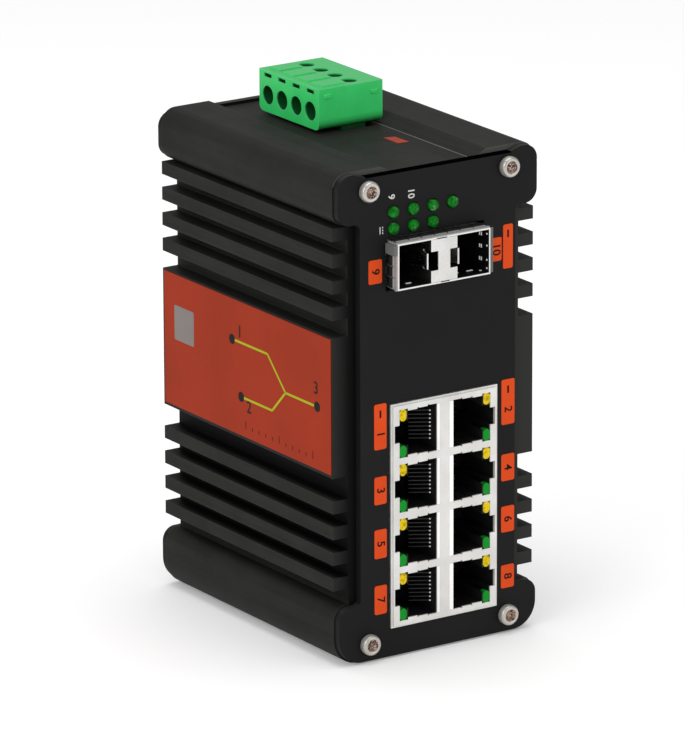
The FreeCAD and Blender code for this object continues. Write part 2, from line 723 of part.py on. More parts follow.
def port_tools(name, side, middle, start, depth, in_sheet):
    """The blocks that cut one plug opening; side is -1 for the left column."""
    centre = S["port_bank_x"]
    half = S["port_width"] / 2
    step = S["port_step"]
    spans = [
        (S["port_inner"], first_step, half + step),
        (first_step, second_step, half),
        (second_step, shoulder_edge, half - step),
        (shoulder_edge, outer_edge, S["port_shoulder_width"] / 2),
        (outer_edge, latch_edge, S["port_latch_width"] / 2),
    ]
    if in_sheet:
        spans.append((first_step, first_step + S["port_notch"], half + step * 2))
        spans.append((second_step, second_step + S["port_notch"], half + step))
    tools = []
    for near, far, half_span in spans:
        ends = (centre + side * near, centre + side * far)
        low, high = (ends[1], ends[0]) if side < 0 else ends
        tools.append(box(name, (low, start, middle - half_span),
                         (high, start + depth, middle + half_span)))
    if in_sheet:
        for end in (-1, 1):
            low, high = light_span(side, middle, end)
            tools.append(box(name, (low[0], start, low[1]), (high[0], start + depth, high[1])))
    return tools


def light_span(side, middle, end):
    """Lower and upper corner of a light, seen from the front; end is 1 for the upper one."""
    outer = S["port_bank_x"] + side * outer_edge
    inner = outer - side * S["light_width"]
    left, right = (outer, inner) if side < 0 else (inner, outer)
    near = S["port_shoulder_width"] / 2
    ends = (middle + end * near, middle + end * (near + S["light_height"]))
    low, high = (ends[1], ends[0]) if end < 0 else ends
    return (left, low), (right, high)


def bank_corners(inset, start, end):
    half_x = S["port_bank_width"] / 2 - inset
    low = (S["port_bank_x"] - half_x, start, bank_low + inset)
    high = (S["port_bank_x"] + half_x, end, bank_high - inset)
    return low, high


def stepped_block(name, inset, start, end):
    """A block whose face stands out inside a set-back margin."""
    return fuse(name, [
        box(name + "_rim", *bank_corners(inset, start + S["shield_step"], end)),
        box(name + "_face", *bank_corners(inset + S["shield_margin"], start, end)),
    ])


def make_port_shield():
    gauge = S["shield_gauge"]
    back = bank_front + S["port_bank_depth"]
    outer = stepped_block("shield_outer", as_size(0), bank_front, back)
    inner = stepped_block("shield_inner", gauge, bank_front + gauge, back + 1)
    tools = [inner]
    for side in (-1, 1):
        for middle in port_middles():
            tools += port_tools("shield_window", side, middle, bank_front - 1, gauge + 2, True)
    return keep(cut("rj45_shield", outer, tools), "rj45_shield")


def make_port_insulator():
    gauge = S["shield_gauge"]
    start = bank_front + gauge
    block = stepped_block("insulator_block", gauge, start, bank_front + S["port_bank_depth"])
    tools = []
    light_depth = S["light_length"] + S["light_inset"] - gauge
    for side in (-1, 1):
        for middle in port_middles():
            tools += port_tools("insulator_cavity", side, middle, bank_front,
                                S["port_depth"] + gauge, False)
            for end in (-1, 1):
                low, high = light_span(side, middle, end)
                tools.append(box("light_pocket", (low[0], start, low[1]),
                                 (high[0], start + light_depth, high[1])))
    return keep(cut("rj45_insulator", block, tools), "rj45_insulator")


def make_port_lights(label, end):
    """Light pipes with bevelled corners; the upper ones are yellow and the lower ones green."""
    lights = []
    start = (bank_front + S["light_inset"]).number
    length = S["light_length"].number
    bevel = S["light_bevel"].number
    for side in (-1, 1):
        for middle in port_middles():
            low, high = light_span(side, middle, end)
            x0, z0 = low[0].number, low[1].number
            x1, z1 = high[0].number, high[1].number
            corners = [
                (x0 + bevel, z0), (x1 - bevel, z0), (x1, z0 + bevel), (x1, z1 - bevel),
                (x1 - bevel, z1), (x0 + bevel, z1), (x0, z1 - bevel), (x0, z0 + bevel),
            ]
            points = [FreeCAD.Vector(x, start, z) for x, z in corners]
            face = Part.Face(Part.makePolygon(points + points[:1]))
            lights.append(face.extrude(FreeCAD.Vector(0, length, 0)))
    return keep(compound_feature(label, lights), label)


def make_port_contacts():
    """Sprung contact wires: they leave the inner wall and lean back into the opening."""
    gauge = S["contact_gauge"].number
    start = (bank_front + S["contact_start"]).number
    reach = S["contact_reach"].number
    lean = S["contact_lean"].number
    wires = []
    for side in (-1, 1):
        wall = (S["port_bank_x"] + side * S["port_inner"]).number
        for middle in port_middles():
            for index in range(8):
                z = middle.number + (index - 3.5) * S["contact_pitch"].number - gauge / 2
                corners = [
                    (wall, start), (wall + side * reach, start + lean),
                    (wall + side * reach, start + lean + gauge), (wall, start + gauge),
                ]
                points = [FreeCAD.Vector(x, y, z) for x, y in corners]
                face = Part.Face(Part.makePolygon(points + points[:1]))
                wires.append(face.extrude(FreeCAD.Vector(0, 0, gauge)))
    return keep(compound_feature("rj45_contacts", wires), "rj45_contacts")


# SFP cages: a folded tube for two modules, with a divider and spring fingers.
def cage_corners(grow, start, depth):
    half_x = S["cage_width"] / 2 + grow
    half_z = S["cage_height"] / 2 + grow
    low = (S["cage_x"] - half_x, start, S["cage_z"] - half_z)
    high = (S["cage_x"] + half_x, start + depth, S["cage_z"] + half_z)
    return low, high


def make_cage():
    gauge = S["cage_gauge"]
    outer = box("cage_outer", *cage_corners(as_size(0), cage_front, S["cage_depth"]))
    inner = box("cage_inner", *cage_corners(-gauge, cage_front - 1, S["cage_depth"] + 1 - gauge))
    return keep(cut("sfp_cage", outer, inner), "sfp_cage")


def make_divider():
    """A channel between the two cages; its notched face carries the latch tabs."""
    gauge = S["cage_gauge"]
    half = S["divider_width"] / 2
    low_z = S["cage_z"] - S["cage_height"] / 2 + gauge
    high_z = S["cage_z"] + S["cage_height"] / 2 - gauge
    channel = box("channel", (S["cage_x"] - half, cage_front, low_z),
                  (S["cage_x"] + half, cage_front + S["divider_depth"], high_z))
    hollow = box("channel_hollow", (S["cage_x"] - half + gauge, cage_front + gauge, low_z - 1),
                 (S["cage_x"] + half - gauge, cage_front + S["divider_depth"] + 1, high_z + 1))
    notch_low = S["cage_z"] - S["latch_notch_height"] / 2
    notch_high = S["cage_z"] + S["latch_notch_height"] / 2
    pieces = [channel]
    notches = [hollow]
    for side in (-1, 1):
        edge = S["cage_x"] + side * half
        deep = edge - side * S["latch_notch_width"]
        left, right = (edge - 1, deep) if side < 0 else (deep, edge + 1)
        notches.append(box("latch_notch", (left, cage_front - 1, notch_low),
                           (right, cage_front + S["latch_tab_length"] / 2, notch_high)))
    shell = cut("divider_shell", pieces[0], notches)
    tabs = []
    for side in (-1, 1):
        edge = S["cage_x"] + side * half
        out = edge + side * S["latch_tab_depth"]
        inside = edge - side * gauge
        start = cage_front + S["latch_tab_length"] / 2
        profile = [(inside, start + gauge), (edge, start), (out, cage_front + 1),
                   (out, cage_front + 1 - gauge), (out - side * gauge, cage_front + 1 - gauge)]
        tabs.append(tab_plate("latch_tab", profile, notch_low + 0.4, notch_high - 0.4))
    return keep(fuse("sfp_divider", [shell] + tabs), "sfp_divider")


def tab_plate(name, corners, low, high):
    """A flat-sided piece drawn in plan and extruded upwards."""
    points = [FreeCAD.Vector(as_size(x).number, as_size(y).number, as_size(low).number)
              for x, y in corners]
    face = Part.Face(Part.makePolygon(points + points[:1]))
    feature = doc.addObject("Part::Feature", name)
    feature.Shape = face.extrude(FreeCAD.Vector(0, 0, (as_size(high) - low).number))
    return feature


def make_fingers():
    """Spring fingers round the cage's mouth, bowed so that they press on the window."""
    gauge = S["finger_gauge"].number
    bow = S["finger_bow_height"].number
    length = S["finger_length"].number
    start = (cage_front + S["finger_start"]).number
    band_end = start + S["finger_band"].number
    low, high = cage_corners(as_size(0), cage_front, S["cage_depth"])
    x0, x1 = low[0].number, high[0].number
    z0, z1 = low[2].number, high[2].number
    ring = Part.makeBox(x1 - x0 + 2 * gauge, band_end - start, z1 - z0 + 2 * gauge,
                        FreeCAD.Vector(x0 - gauge, start, z0 - gauge))
    ring = ring.cut(Part.makeBox(x1 - x0, band_end - start, z1 - z0, FreeCAD.Vector(x0, start, z0)))
    solids = [ring]
    outline = [(0, band_end), (gauge, band_end), (bow, start + length * 0.5),
               (gauge, start + length), (0, start + length),
               (bow - gauge, start + length * 0.5)]

    def finger(corner, along, out):
        points = [corner + out * rise + FreeCAD.Vector(0, depth, 0) for rise, depth in outline]
        face = Part.Face(Part.makePolygon(points + points[:1]))
        return face.extrude(along)

    rows = (("x", x0, x1, S["finger_pitch"].number), ("z", z0, z1, S["side_finger_pitch"].number))
    for axis, first, last, pitch in rows:
        width = pitch - S["finger_gap"].number
        count = int((last - first + pitch - width) // pitch)
        margin = (last - first - (count - 1) * pitch - width) / 2
        for index in range(count):
            offset = first + margin + index * pitch
            for side in (-1, 1):
                if axis == "x":
                    corner = FreeCAD.Vector(offset, 0, z0 if side < 0 else z1)
                    along, out = FreeCAD.Vector(width, 0, 0), FreeCAD.Vector(0, 0, side)
                else:
                    corner = FreeCAD.Vector(x0 if side < 0 else x1, 0, offset)
                    along, out = FreeCAD.Vector(0, 0, width), FreeCAD.Vector(side, 0, 0)
                solids.append(finger(corner, along, out))
    joined = solids[0].multiFuse(solids[1:])
    feature = doc.addObject("Part::Feature", "sfp_emi_fingers")
    feature.Shape = joined.Solids[0] if len(joined.Solids) == 1 else joined
    return keep(feature, "sfp_emi_fingers")


def make_sfp_connectors():
    """The module connectors at the back of the two cages, each with a card slot."""
    gauge = S["cage_gauge"]
    half = S["cage_width"] / 2 - gauge
    back = cage_front + S["cage_depth"] - gauge
    face = back - S["connector_length"]
    low_z = S["cage_z"] - S["cage_height"] / 2 + gauge + 0.3
    high_z = S["cage_z"] + S["cage_height"] / 2 - gauge - 0.3
    blocks = []
    for side in (-1, 1):
        wall = S["cage_x"] + side * half
        inner = wall - side * S["connector_width"]
        left, right = (wall, inner) if side < 0 else (inner, wall)
        block = box("connector_block", (left, face, low_z), (right, back, high_z))
        slot = box("card_slot", (left + S["connector_wall"], face - 1, low_z + 1),
                   (right - S["connector_wall"], back - 2, high_z - 1))
        blocks.append(cut("connector", block, slot))
    return keep(group("sfp_connectors", blocks), "sfp_connectors")


# Indicators: crowned lamps in a holder on the power board's front edge.
def make_leds():
    lamps = []
    tip = (front - S["led_proud"]).number
    radius = S["led_diameter"].number / 2
    crown_radius = S["led_crown_width"].number / 2
    rings = (
        (tip, crown_radius),
        (tip + S["led_crown"].number * 0.4, (radius * 2 + crown_radius) / 3),
        (tip + S["led_crown"].number, radius),
        (tip + S["led_length"].number, radius),
    )
    for x, z in led_centres():
        corners = []
        for depth, ring_radius in rings:
            spots = faceted_ring(x.number, z.number, ring_radius, 12)
            corners.append([FreeCAD.Vector(u, depth, v) for u, v in spots])
        faces = [flat_face(*corners[0]), flat_face(*corners[-1])]
        for near, far in zip(corners, corners[1:]):
            for index in range(12):
                after = (index + 1) % 12
                faces.append(flat_face(near[index], near[after], far[after], far[index]))
        lamps.append(Part.Solid(Part.Shell(faces)))
    return keep(compound_feature("status_leds", lamps), "status_leds")


def make_led_holder():
    margin = S["holder_margin"]
    centres = led_centres()
    left = S["main_board_x"] + 0.5
    right = centres[3][0] + margin
    low = S["led_z"] - S["led_pitch_z"] - margin
    high = S["led_z"] + margin
    lamp_end = front - S["led_proud"] + S["led_length"]
    block = box("holder_block", (left, plate_back, low), (right, lamp_end + 2, high))
    board_top = S["power_board_z"] + S["board_gauge"]
    foot = box("holder_foot", (left, lamp_end + 1, board_top),
               (right, lamp_end + 2 + S["holder_foot"], board_top + 2))
    half = S["lamp_pocket"] / 2
    tools = [box("lamp_pocket", (x - half, plate_back - 1, z - half), (x + half, lamp_end, z + half))
             for x, z in centres]
    return keep(cut("led_holder", fuse("holder_blank", [block, foot]), tools), "led_holder")


# Boards and what they carry inside the closed housing.
def make_main_board():
    board = box("main_board", (S["main_board_x"] - S["board_gauge"],
                               front + S["front_plate_gauge"] + S["board_front_gap"],
                               board_foot),
                (S["main_board_x"], extrusion_back - S["board_rear_gap"], S["main_board_top"]))
    return keep(board, "main_board")


def make_power_board():
    half = half_bore - S["board_play"]
    board = box("power_board", (-half, front + S["power_board_front"], S["power_board_z"]),
                (half, extrusion_back - S["board_rear_gap"],
                 S["power_board_z"] + S["board_gauge"]))
    return keep(board, "power_board")


def make_board_parts():
    solder_side = S["main_board_x"] - S["board_gauge"]
    half = S["chip_size"] / 2
    y = front + S["chip_y"]
    z = S["chip_z"]
    chip = box("switch_chip", (solder_side - S["chip_gauge"], y - half, z - half),
               (solder_side, y + half, z + half))
    keep(chip, "switch_chip")
    half = S["spreader_size"] / 2
    spreader = box("heat_spreader", (-half_bore, y - half, z - half),
                   (solder_side - S["chip_gauge"], y + half, z + half))
    keep(spreader, "heat_spreader")

    top = S["power_board_z"] + S["board_gauge"]
    can = rod("capacitor", "z", (half_bore - S["capacitor_inset"], front + S["capacitor_y"], top),
              S["capacitor_diameter"] / 2, S["capacitor_height"])
    keep(can, "capacitor")
    half = S["inductor_size"] / 2
    x = S["inductor_x"]
    y = front + S["inductor_y"]
    inductor = box("inductor", (x - half, y - half, top),
                   (x + half, y + half, top + S["inductor_height"]))
    keep(inductor, "inductor")
    half = S["link_length"] / 2
    y = front + S["link_y"]
    link = box("board_link",
               (S["main_board_x"], y - half, S["power_board_z"] - S["link_height"]),
               (S["main_board_x"] + S["link_width"], y + half, S["power_board_z"]))
    keep(link, "board_link")


# Terminal: a header on the power board and a plug with four screw clamps on top.
def pole_middles():
    return [plug_middle + S["pole_pitch"] * (index - (POLES - 1) / 2) for index in range(POLES)]


def make_header():
    base = S["power_board_z"] + S["board_gauge"]
    mouth = recess_top - S["header_top_gap"]
    outer = box("header_outer", (S["mate_x"] - header_half_width, plug_middle - header_half_length,
                                 base),
                (S["mate_x"] + header_half_width, plug_middle + header_half_length, mouth))
    wall = S["header_wall"]
    inner = box("header_inner", (S["mate_x"] - header_half_width + wall,
                                 plug_middle - header_half_length + wall,
                                 base + S["header_floor"]),
                (S["mate_x"] + header_half_width - wall,
                 plug_middle + header_half_length - wall, mouth + 1))
    half = S["pin_gauge"] / 2
    holes = [box("pin_hole", (S["mate_x"] - half, y - half, base - 1),
                 (S["mate_x"] + half, y + half, base + S["header_floor"] + 1))
             for y in pole_middles()]
    keep(cut("terminal_header", outer, [inner] + holes), "terminal_header")
    pins = [box("pin", (S["mate_x"] - half, y - half, base),
                (S["mate_x"] + half, y + half, base + S["header_floor"] + S["pin_height"]))
            for y in pole_middles()]
    keep(group("terminal_pins", pins), "terminal_pins")


plug_bottom = recess_top + S["plug_lift"]
plug_top = plug_bottom + S["plug_height"]
plug_left = S["plug_x"] - S["plug_width"] / 2
plug_right = S["plug_x"] + S["plug_width"] / 2
plug_half_length = (S["pole_pitch"] * POLES + S["plug_margin"]) / 2


clamp_low = plug_bottom + S["wire_height"] - S["clamp_height"] / 2
clamp_high = clamp_low + S["clamp_height"]
wire_z = plug_bottom + S["wire_height"]


def make_plug():
    body = new_body("terminal_plug")
    # The end profile, seen along the row of poles.
    profile = rectangle(plug_left, plug_right, plug_bottom, plug_top)
    ends = plug_middle + plug_half_length
    pad(body, draw(body, "plug_profile", "XZ_Plane", -ends, [profile]), "plug_block",
        plug_half_length * 2)
    feet = [(plug_middle + side * plug_half_length, plug_bottom) for side in (-1, 1)]
    round_edges(body, "plug_feet", 0, feet, S["plug_foot_radius"])
    tongue_x = S["tongue_width"] / 2
    tongue = rectangle(S["mate_x"] - tongue_x, S["mate_x"] + tongue_x,
                       plug_middle - tongue_half_length, plug_middle + tongue_half_length)
    pad(body, draw(body, "tongue", "XY_Plane", plug_bottom - S["tongue_length"], [tongue]),
        "plug_tongue", S["tongue_length"] + S["plug_foot_radius"])
    marker_left = plug_left + S["marker_inset"]
    marker_right = marker_left + S["marker_length"]
    half = S["marker_width"] / 2
    markers = [rectangle(marker_left, marker_right, y - half, y + half) for y in pole_middles()]
    pad(body, draw(body, "markers", "XY_Plane", plug_top - 0.2, markers), "marker_tabs",
        S["marker_height"] + 0.2)

    mouths = [(y, wire_z, S["wire_mouth"] / 2) for y in pole_middles()]
    pocket(body, draw(body, "wire_mouths", "YZ_Plane", plug_left, [], mouths), "wire_mouths_cut",
           S["wire_mouth_depth"], True)
    half = S["wire_bore"] / 2
    bores = [rectangle(y - half, y + half, wire_z - half, wire_z + half) for y in pole_middles()]
    pocket(body, draw(body, "wire_bores", "YZ_Plane", plug_left, bores), "wire_bores_cut",
           S["mate_x"] - plug_left, True)
    chamber_x = S["clamp_length"] / 2 + S["clamp_play"]
    chamber_y = S["clamp_width"] / 2 + S["clamp_play"]
    chamber_top = clamp_high + S["clamp_play"]
    chambers = [rectangle(S["mate_x"] - chamber_x, S["mate_x"] + chamber_x,
                          y - chamber_y, y + chamber_y) for y in pole_middles()]
    pocket(body, draw(body, "chambers", "XY_Plane", chamber_top, chambers), "clamp_chambers",
           chamber_top - clamp_low)
    wells = [faceted_ring(S["mate_x"], y, S["screw_well"] / 2, 16) for y in pole_middles()]
    pocket(body, draw(body, "wells", "XY_Plane", plug_top, wells), "screw_wells",
           plug_top - chamber_top + 0.5)
    half = S["pin_socket"] / 2
    sockets = [rectangle(S["mate_x"] - half, S["mate_x"] + half, y - half, y + half)
               for y in pole_middles()]
    pocket(body, draw(body, "pin_sockets", "XY_Plane", clamp_low, sockets), "pin_sockets_cut",
           clamp_low - plug_bottom + S["tongue_length"] + 1)
    slot_half = S["test_slot_width"] / 2
    slot_low = plug_bottom + S["test_slot_z"] - S["test_slot_height"] / 2
    slots = [rectangle(y - slot_half, y + slot_half, slot_low, slot_low + S["test_slot_height"])
             for y in pole_middles()]
    pocket(body, draw(body, "test_slots", "YZ_Plane", plug_left, slots), "test_slots_cut",
           S["test_slot_depth"], True)
    return body


def make_clamps():
    clamps = []
    screws = []
    x = S["mate_x"]
    half_x = S["clamp_length"] / 2
    half_y = S["clamp_width"] / 2
    half_wire = S["wire_bore"] / 2
    shank_radius = S["clamp_screw_shank"] / 2
    head_low = clamp_high + S["clamp_head_gap"]
    head_high = head_low + S["clamp_head_height"]
    half_slot = S["driver_slot_width"] / 2
    for y in pole_middles():
        block = box("clamp_block", (x - half_x, y - half_y, clamp_low),
                    (x + half_x, y + half_y, clamp_high))
        wire = box("clamp_wire", (x - half_x - 1, y - half_wire, wire_z - half_wire),
                   (x + half_x + 1, y + half_wire, wire_z + half_wire))
        thread = prism("clamp_thread", "z", (x, y, wire_z), shank_radius + S["clamp_play"],
                       clamp_high - wire_z + 1, 12)
        clamps.append(cut("clamp", block, [wire, thread]))
        head = prism("clamp_screw_head", "z", (x, y, head_low), S["clamp_screw_head"] / 2,
                     S["clamp_head_height"], 16)
        shank = prism("clamp_screw_shank", "z", (x, y, wire_z + half_wire - 1), shank_radius,
                      head_low - wire_z - half_wire + 1, 12)
        slot = box("driver_slot", (x - half_x, y - half_slot, head_high - S["driver_slot_depth"]),
                   (x + half_x, y + half_slot, head_high + 1))
        screws.append(cut("clamp_screw", fuse("clamp_screw_blank", [head, shank]), slot))
    keep(group("terminal_clamps", clamps), "terminal_clamps")
    keep(group("terminal_screws", screws), "terminal_screws")


# Side label: a thin sheet on the left pad.
def make_label():
    start = plate_back + S["label_front"]
    label = box("side_label", (-half_width - S["label_gauge"], start, S["label_bottom"]),
                (-half_width, start + S["label_length"], S["label_bottom"] + S["label_height"]))
    return keep(label, "side_label")


# Rail clip: a hooked bracket for a 35 mm top-hat rail, with a latch that a spring holds up.
seat = rear + S["clip_gauge"]
clip_back = rear + S["clip_depth"]
rail_top = S["rail_z"] + S["rail_height"] / 2 + 0.2
rail_bottom = S["rail_z"] - S["rail_height"] / 2
lip_back = seat + S["rail_lip"] + S["rail_play"]
post_low = rail_bottom - 13.6
spring_low = post_low + S["post_height"]
spring_high = spring_low + S["spring_length"]


def make_bracket():
    body = new_body("din_bracket")
    half = S["clip_width"] / 2
    top = rail_top + S["hook_web"]
    # Side view of the bracket: base, web over the rail, hook lapping the rail's upper lip.
    profile = [
        (rear, S["clip_bottom"]), (seat, S["clip_bottom"]), (seat, rail_top),
        (lip_back, rail_top), (lip_back, rail_top - S["hook_overlap"]),
        (lip_back + 1.2, rail_top - S["hook_overlap"] - 0.6),
        (clip_back, rail_top - S["hook_overlap"] + 1.4), (clip_back, top - 1.4),
        (clip_back - 1.4, top), (rear, top),
    ]
    pad(body, draw(body, "bracket_profile", "YZ_Plane", -half, [profile]), "bracket_block",
        S["clip_width"])
    flange = S["latch_width"] / 2 + S["latch_play"]
    neck = S["latch_neck"] / 2 + S["latch_play"]
    shelf = S["latch_flange"] + 2 * S["latch_play"]
    cheek_low = S["clip_bottom"]
    for side, word in ((-1, "left"), (1, "right")):
        outer = side * half
        profile = [
            (outer, 0), (side * flange, 0), (side * flange, shelf), (side * neck, shelf),
            (side * neck, shelf + 1.6), (outer, shelf + 1.6),
        ]
        loop = [(x, seat + rise) for x, rise in profile]
        loop[0] = (outer, seat - 0.5)
        loop[1] = (side * flange, seat - 0.5)
        pad(body, draw(body, word + "_cheek", "XY_Plane", cheek_low, [loop]), word + "_cheek_pad",
            S["cheek_height"])
    half_post = S["post_width"] / 2
    post = rectangle(-half_post, half_post, seat - 0.5, seat + S["spring_diameter"])
    pad(body, draw(body, "post", "XY_Plane", post_low, [post]), "spring_post", S["post_height"])
    spacing = S["clip_screw_spacing"] / 2
    holes = [faceted_ring(as_size(0), S["rail_z"] + side * spacing, S["screw_hole"] / 2, 12)
             for side in (-1, 1)]
    pocket(body, draw(body, "bracket_holes", "XZ_Plane", -rear, holes), "bracket_screw_holes",
           S["clip_gauge"])
    sinks = [(as_size(0), S["rail_z"] + side * spacing, S["clip_screw_head"] / 2 + 0.2)
             for side in (-1, 1)]
    pocket(body, draw(body, "counterbores", "XZ_Plane", -seat, [], sinks), "counterbores_cut",
           S["clip_head_sink"], True)
    return body


def make_clip_screws():
    screws = []
    spacing = S["clip_screw_spacing"] / 2
    head_start = seat - S["clip_head_sink"]
    head_height = S["clip_head_sink"] - 0.1
    for side in (-1, 1):
        z = S["rail_z"] + side * spacing
        head = rod("clip_head", "y", (as_size(0), head_start, z), S["clip_screw_head"] / 2,
                   head_height)
        shank = prism("clip_shank", "y", (as_size(0), seat - S["clip_screw_length"], z),
                      S["screw_shank"] / 2, S["clip_screw_length"] - S["clip_head_sink"], 12)
        socket = hexagon("clip_socket", (as_size(0), head_start + head_height * 0.4, z),
                         S["screw_socket"], head_height)
        screws.append(cut("clip_screw", fuse("clip_screw_blank", [head, shank]), socket))
    return keep(group("clip_screws", screws), "clip_screws")


def make_latch():
    body = new_body("din_latch")
    play = S["latch_play"]
    low = seat + play
    flange_back = low + S["latch_flange"]
    neck = S["latch_neck"] / 2
    wide = S["latch_width"] / 2
    tail = S["clip_bottom"] - S["latch_tail"]
    nose_top = rail_bottom + S["hook_overlap"]
    # Flange that runs behind the clip's cheeks.
    flange = rectangle(-wide, wide, S["clip_bottom"] - 1, rail_bottom - 0.2)
    pad(body, draw(body, "latch_flange", "XZ_Plane", -low, [flange]), "flange_plate",
        S["latch_flange"], True)
    # Neck in side view: pull at the bottom, bevelled nose over the rail's lower lip.
    profile = [
        (low, tail), (clip_back - 1.5, tail), (clip_back, tail + 1.5),
        (clip_back, nose_top - 2.8), (lip_back + 0.8, nose_top), (lip_back, nose_top),
        (lip_back, rail_bottom - 0.2), (low, rail_bottom - 0.2),
    ]
    pad(body, draw(body, "latch_neck", "YZ_Plane", -neck, [profile]), "neck_block",
        S["latch_neck"])
    window_half = S["spring_diameter"] / 2 + play
    window = rectangle(-window_half, window_half, post_low - 0.1, spring_high)
    pocket(body, draw(body, "spring_window", "XZ_Plane", -low, [window]), "spring_window_cut")
    slot = rectangle(-3.0, 3.0, tail + 2.2, tail + 3.8)
    slot = [(as_size(u), v) for u, v in slot]
    pocket(body, draw(body, "driver_slot", "XZ_Plane", -low, [slot]), "driver_slot_cut")
    return body


COILS = 6
COIL_SIDES = 10


def make_spring():
    """A coil spring of square wire between the clip's post and the latch's window."""
    wire = S["spring_wire"].number
    outer = S["spring_diameter"].number / 2
    inner = outer - wire
    rise = (S["spring_length"].number - wire) / (COILS * COIL_SIDES)
    rings = []
    for index in range(COILS * COIL_SIDES + 1):
        angle = 2 * math.pi * index / COIL_SIDES
        z = rise * index
        rings.append([FreeCAD.Vector(radius * math.cos(angle), radius * math.sin(angle), z + up)
                      for radius, up in ((inner, 0), (outer, 0), (outer, wire), (inner, wire))])
    faces = [flat_face(*rings[0][:3]), flat_face(rings[0][0], *rings[0][2:])]
    faces += [flat_face(*rings[-1][:3]), flat_face(rings[-1][0], *rings[-1][2:])]
    for near, far in zip(rings, rings[1:]):
        for corner in range(4):
            after = (corner + 1) % 4
            faces.append(flat_face(near[corner], near[after], far[after]))
            faces.append(flat_face(near[corner], far[after], far[corner]))
    coil = Part.Solid(Part.Shell(faces))
    middle = (seat + S["latch_play"] + S["spring_diameter"] / 2).number
    feature = doc.addObject("Part::Feature", "din_spring")
    feature.Shape = coil
    feature.Placement = FreeCAD.Placement(
        FreeCAD.Vector(0, middle, spring_low.number), FreeCAD.Rotation())
    return keep(feature, "din_spring")


make_housing()
make_front_plate()
make_rear_plate()
make_corner_screws("front_screws", front, -1)
make_corner_screws("rear_screws", rear, 1)
make_port_shield()
make_port_insulator()
make_port_contacts()
make_port_lights("rj45_yellow_lights", 1)
make_port_lights("rj45_green_lights", -1)
make_cage()
make_divider()
make_fingers()
make_sfp_connectors()
make_leds()
make_led_holder()
make_main_board()
make_power_board()
make_board_parts()
make_header()
make_plug()
make_clamps()
make_label()
make_bracket()
make_clip_screws()
make_latch()
make_spring()
doc.recompute()

for item in doc.Objects:
    if "Invalid" in item.State or "Error" in item.State:
        raise ValueError("%s failed: %s" % (item.Label, item.State))
os.makedirs("parts", exist_ok=True)
for item in parts:
    if item.Shape.isNull() or not item.Shape.isValid():
        raise ValueError("%s has no valid shape" % item.Label)
for item in parts:
    item.Shape.exportStep("parts/%s.step" % item.Label)
    print("%-22s %2d solids %10.2f mm3" % (item.Label, len(item.Shape.Solids), item.Shape.Volume))
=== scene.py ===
from collections import namedtuple
from functools import cached_property
import math

import bmesh
import bpy
from mathutils import Matrix, Vector


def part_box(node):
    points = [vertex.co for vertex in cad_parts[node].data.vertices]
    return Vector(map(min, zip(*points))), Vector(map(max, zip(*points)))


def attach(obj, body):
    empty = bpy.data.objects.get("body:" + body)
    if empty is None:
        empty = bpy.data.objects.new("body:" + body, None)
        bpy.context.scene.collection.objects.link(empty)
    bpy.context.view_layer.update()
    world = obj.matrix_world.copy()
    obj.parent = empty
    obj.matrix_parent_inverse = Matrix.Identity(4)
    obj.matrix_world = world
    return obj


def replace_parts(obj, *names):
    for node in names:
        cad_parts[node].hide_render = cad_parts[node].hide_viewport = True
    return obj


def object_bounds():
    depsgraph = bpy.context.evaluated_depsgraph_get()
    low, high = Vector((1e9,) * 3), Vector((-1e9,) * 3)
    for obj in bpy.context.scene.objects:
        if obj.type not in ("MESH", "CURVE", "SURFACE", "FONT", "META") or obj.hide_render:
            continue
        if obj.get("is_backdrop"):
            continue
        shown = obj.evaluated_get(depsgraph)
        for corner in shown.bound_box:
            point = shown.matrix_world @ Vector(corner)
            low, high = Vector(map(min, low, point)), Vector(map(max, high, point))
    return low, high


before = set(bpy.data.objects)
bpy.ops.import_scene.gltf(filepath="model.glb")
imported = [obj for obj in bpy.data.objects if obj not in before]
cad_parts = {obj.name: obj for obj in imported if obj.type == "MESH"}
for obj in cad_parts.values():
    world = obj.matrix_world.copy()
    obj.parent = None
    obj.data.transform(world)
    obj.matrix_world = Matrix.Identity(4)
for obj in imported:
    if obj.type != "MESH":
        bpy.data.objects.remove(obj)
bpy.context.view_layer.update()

scene = bpy.context.scene
scene.view_settings.view_transform = "Standard"

# Lengths are in millimetres, and MM takes them to metres. A material's noises, the floor and the
# lights are in metres.
MM = 0.001
Corner = namedtuple("Corner", "x y z")


def box_mm(name):
    """A node's lowest and highest corners."""
    return [Corner(*(value / MM for value in corner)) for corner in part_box(name)]


HOUSE_HIGH = box_mm("housing_extrusion")[1]
TOP_LEVEL = HOUSE_HIGH.z - 2.2  # the recessed top
PLATE_LOW, PLATE_HIGH = box_mm("front_plate")
PLATE = PLATE_LOW.y  # the front plate's face
SHIELD = PLATE - 0.6  # the face of the sockets' shield
CAGE_LOW, CAGE_HIGH = box_mm("sfp_cage")
PLUG_LOW, PLUG_HIGH = box_mm("terminal_plug")
LABEL_LOW = box_mm("side_label")[0]


# Materials.
NOISE = 0.3, 0.7  # most of a noise lies between these
WHITE = 1.0, 1.0, 1.0, 1.0
EVEN, LONG_Y, LONG_Z = (1.0, 1.0, 1.0), (1.0, 0.1, 1.0), (1.0, 1.0, 0.1)  # a grain's stretch


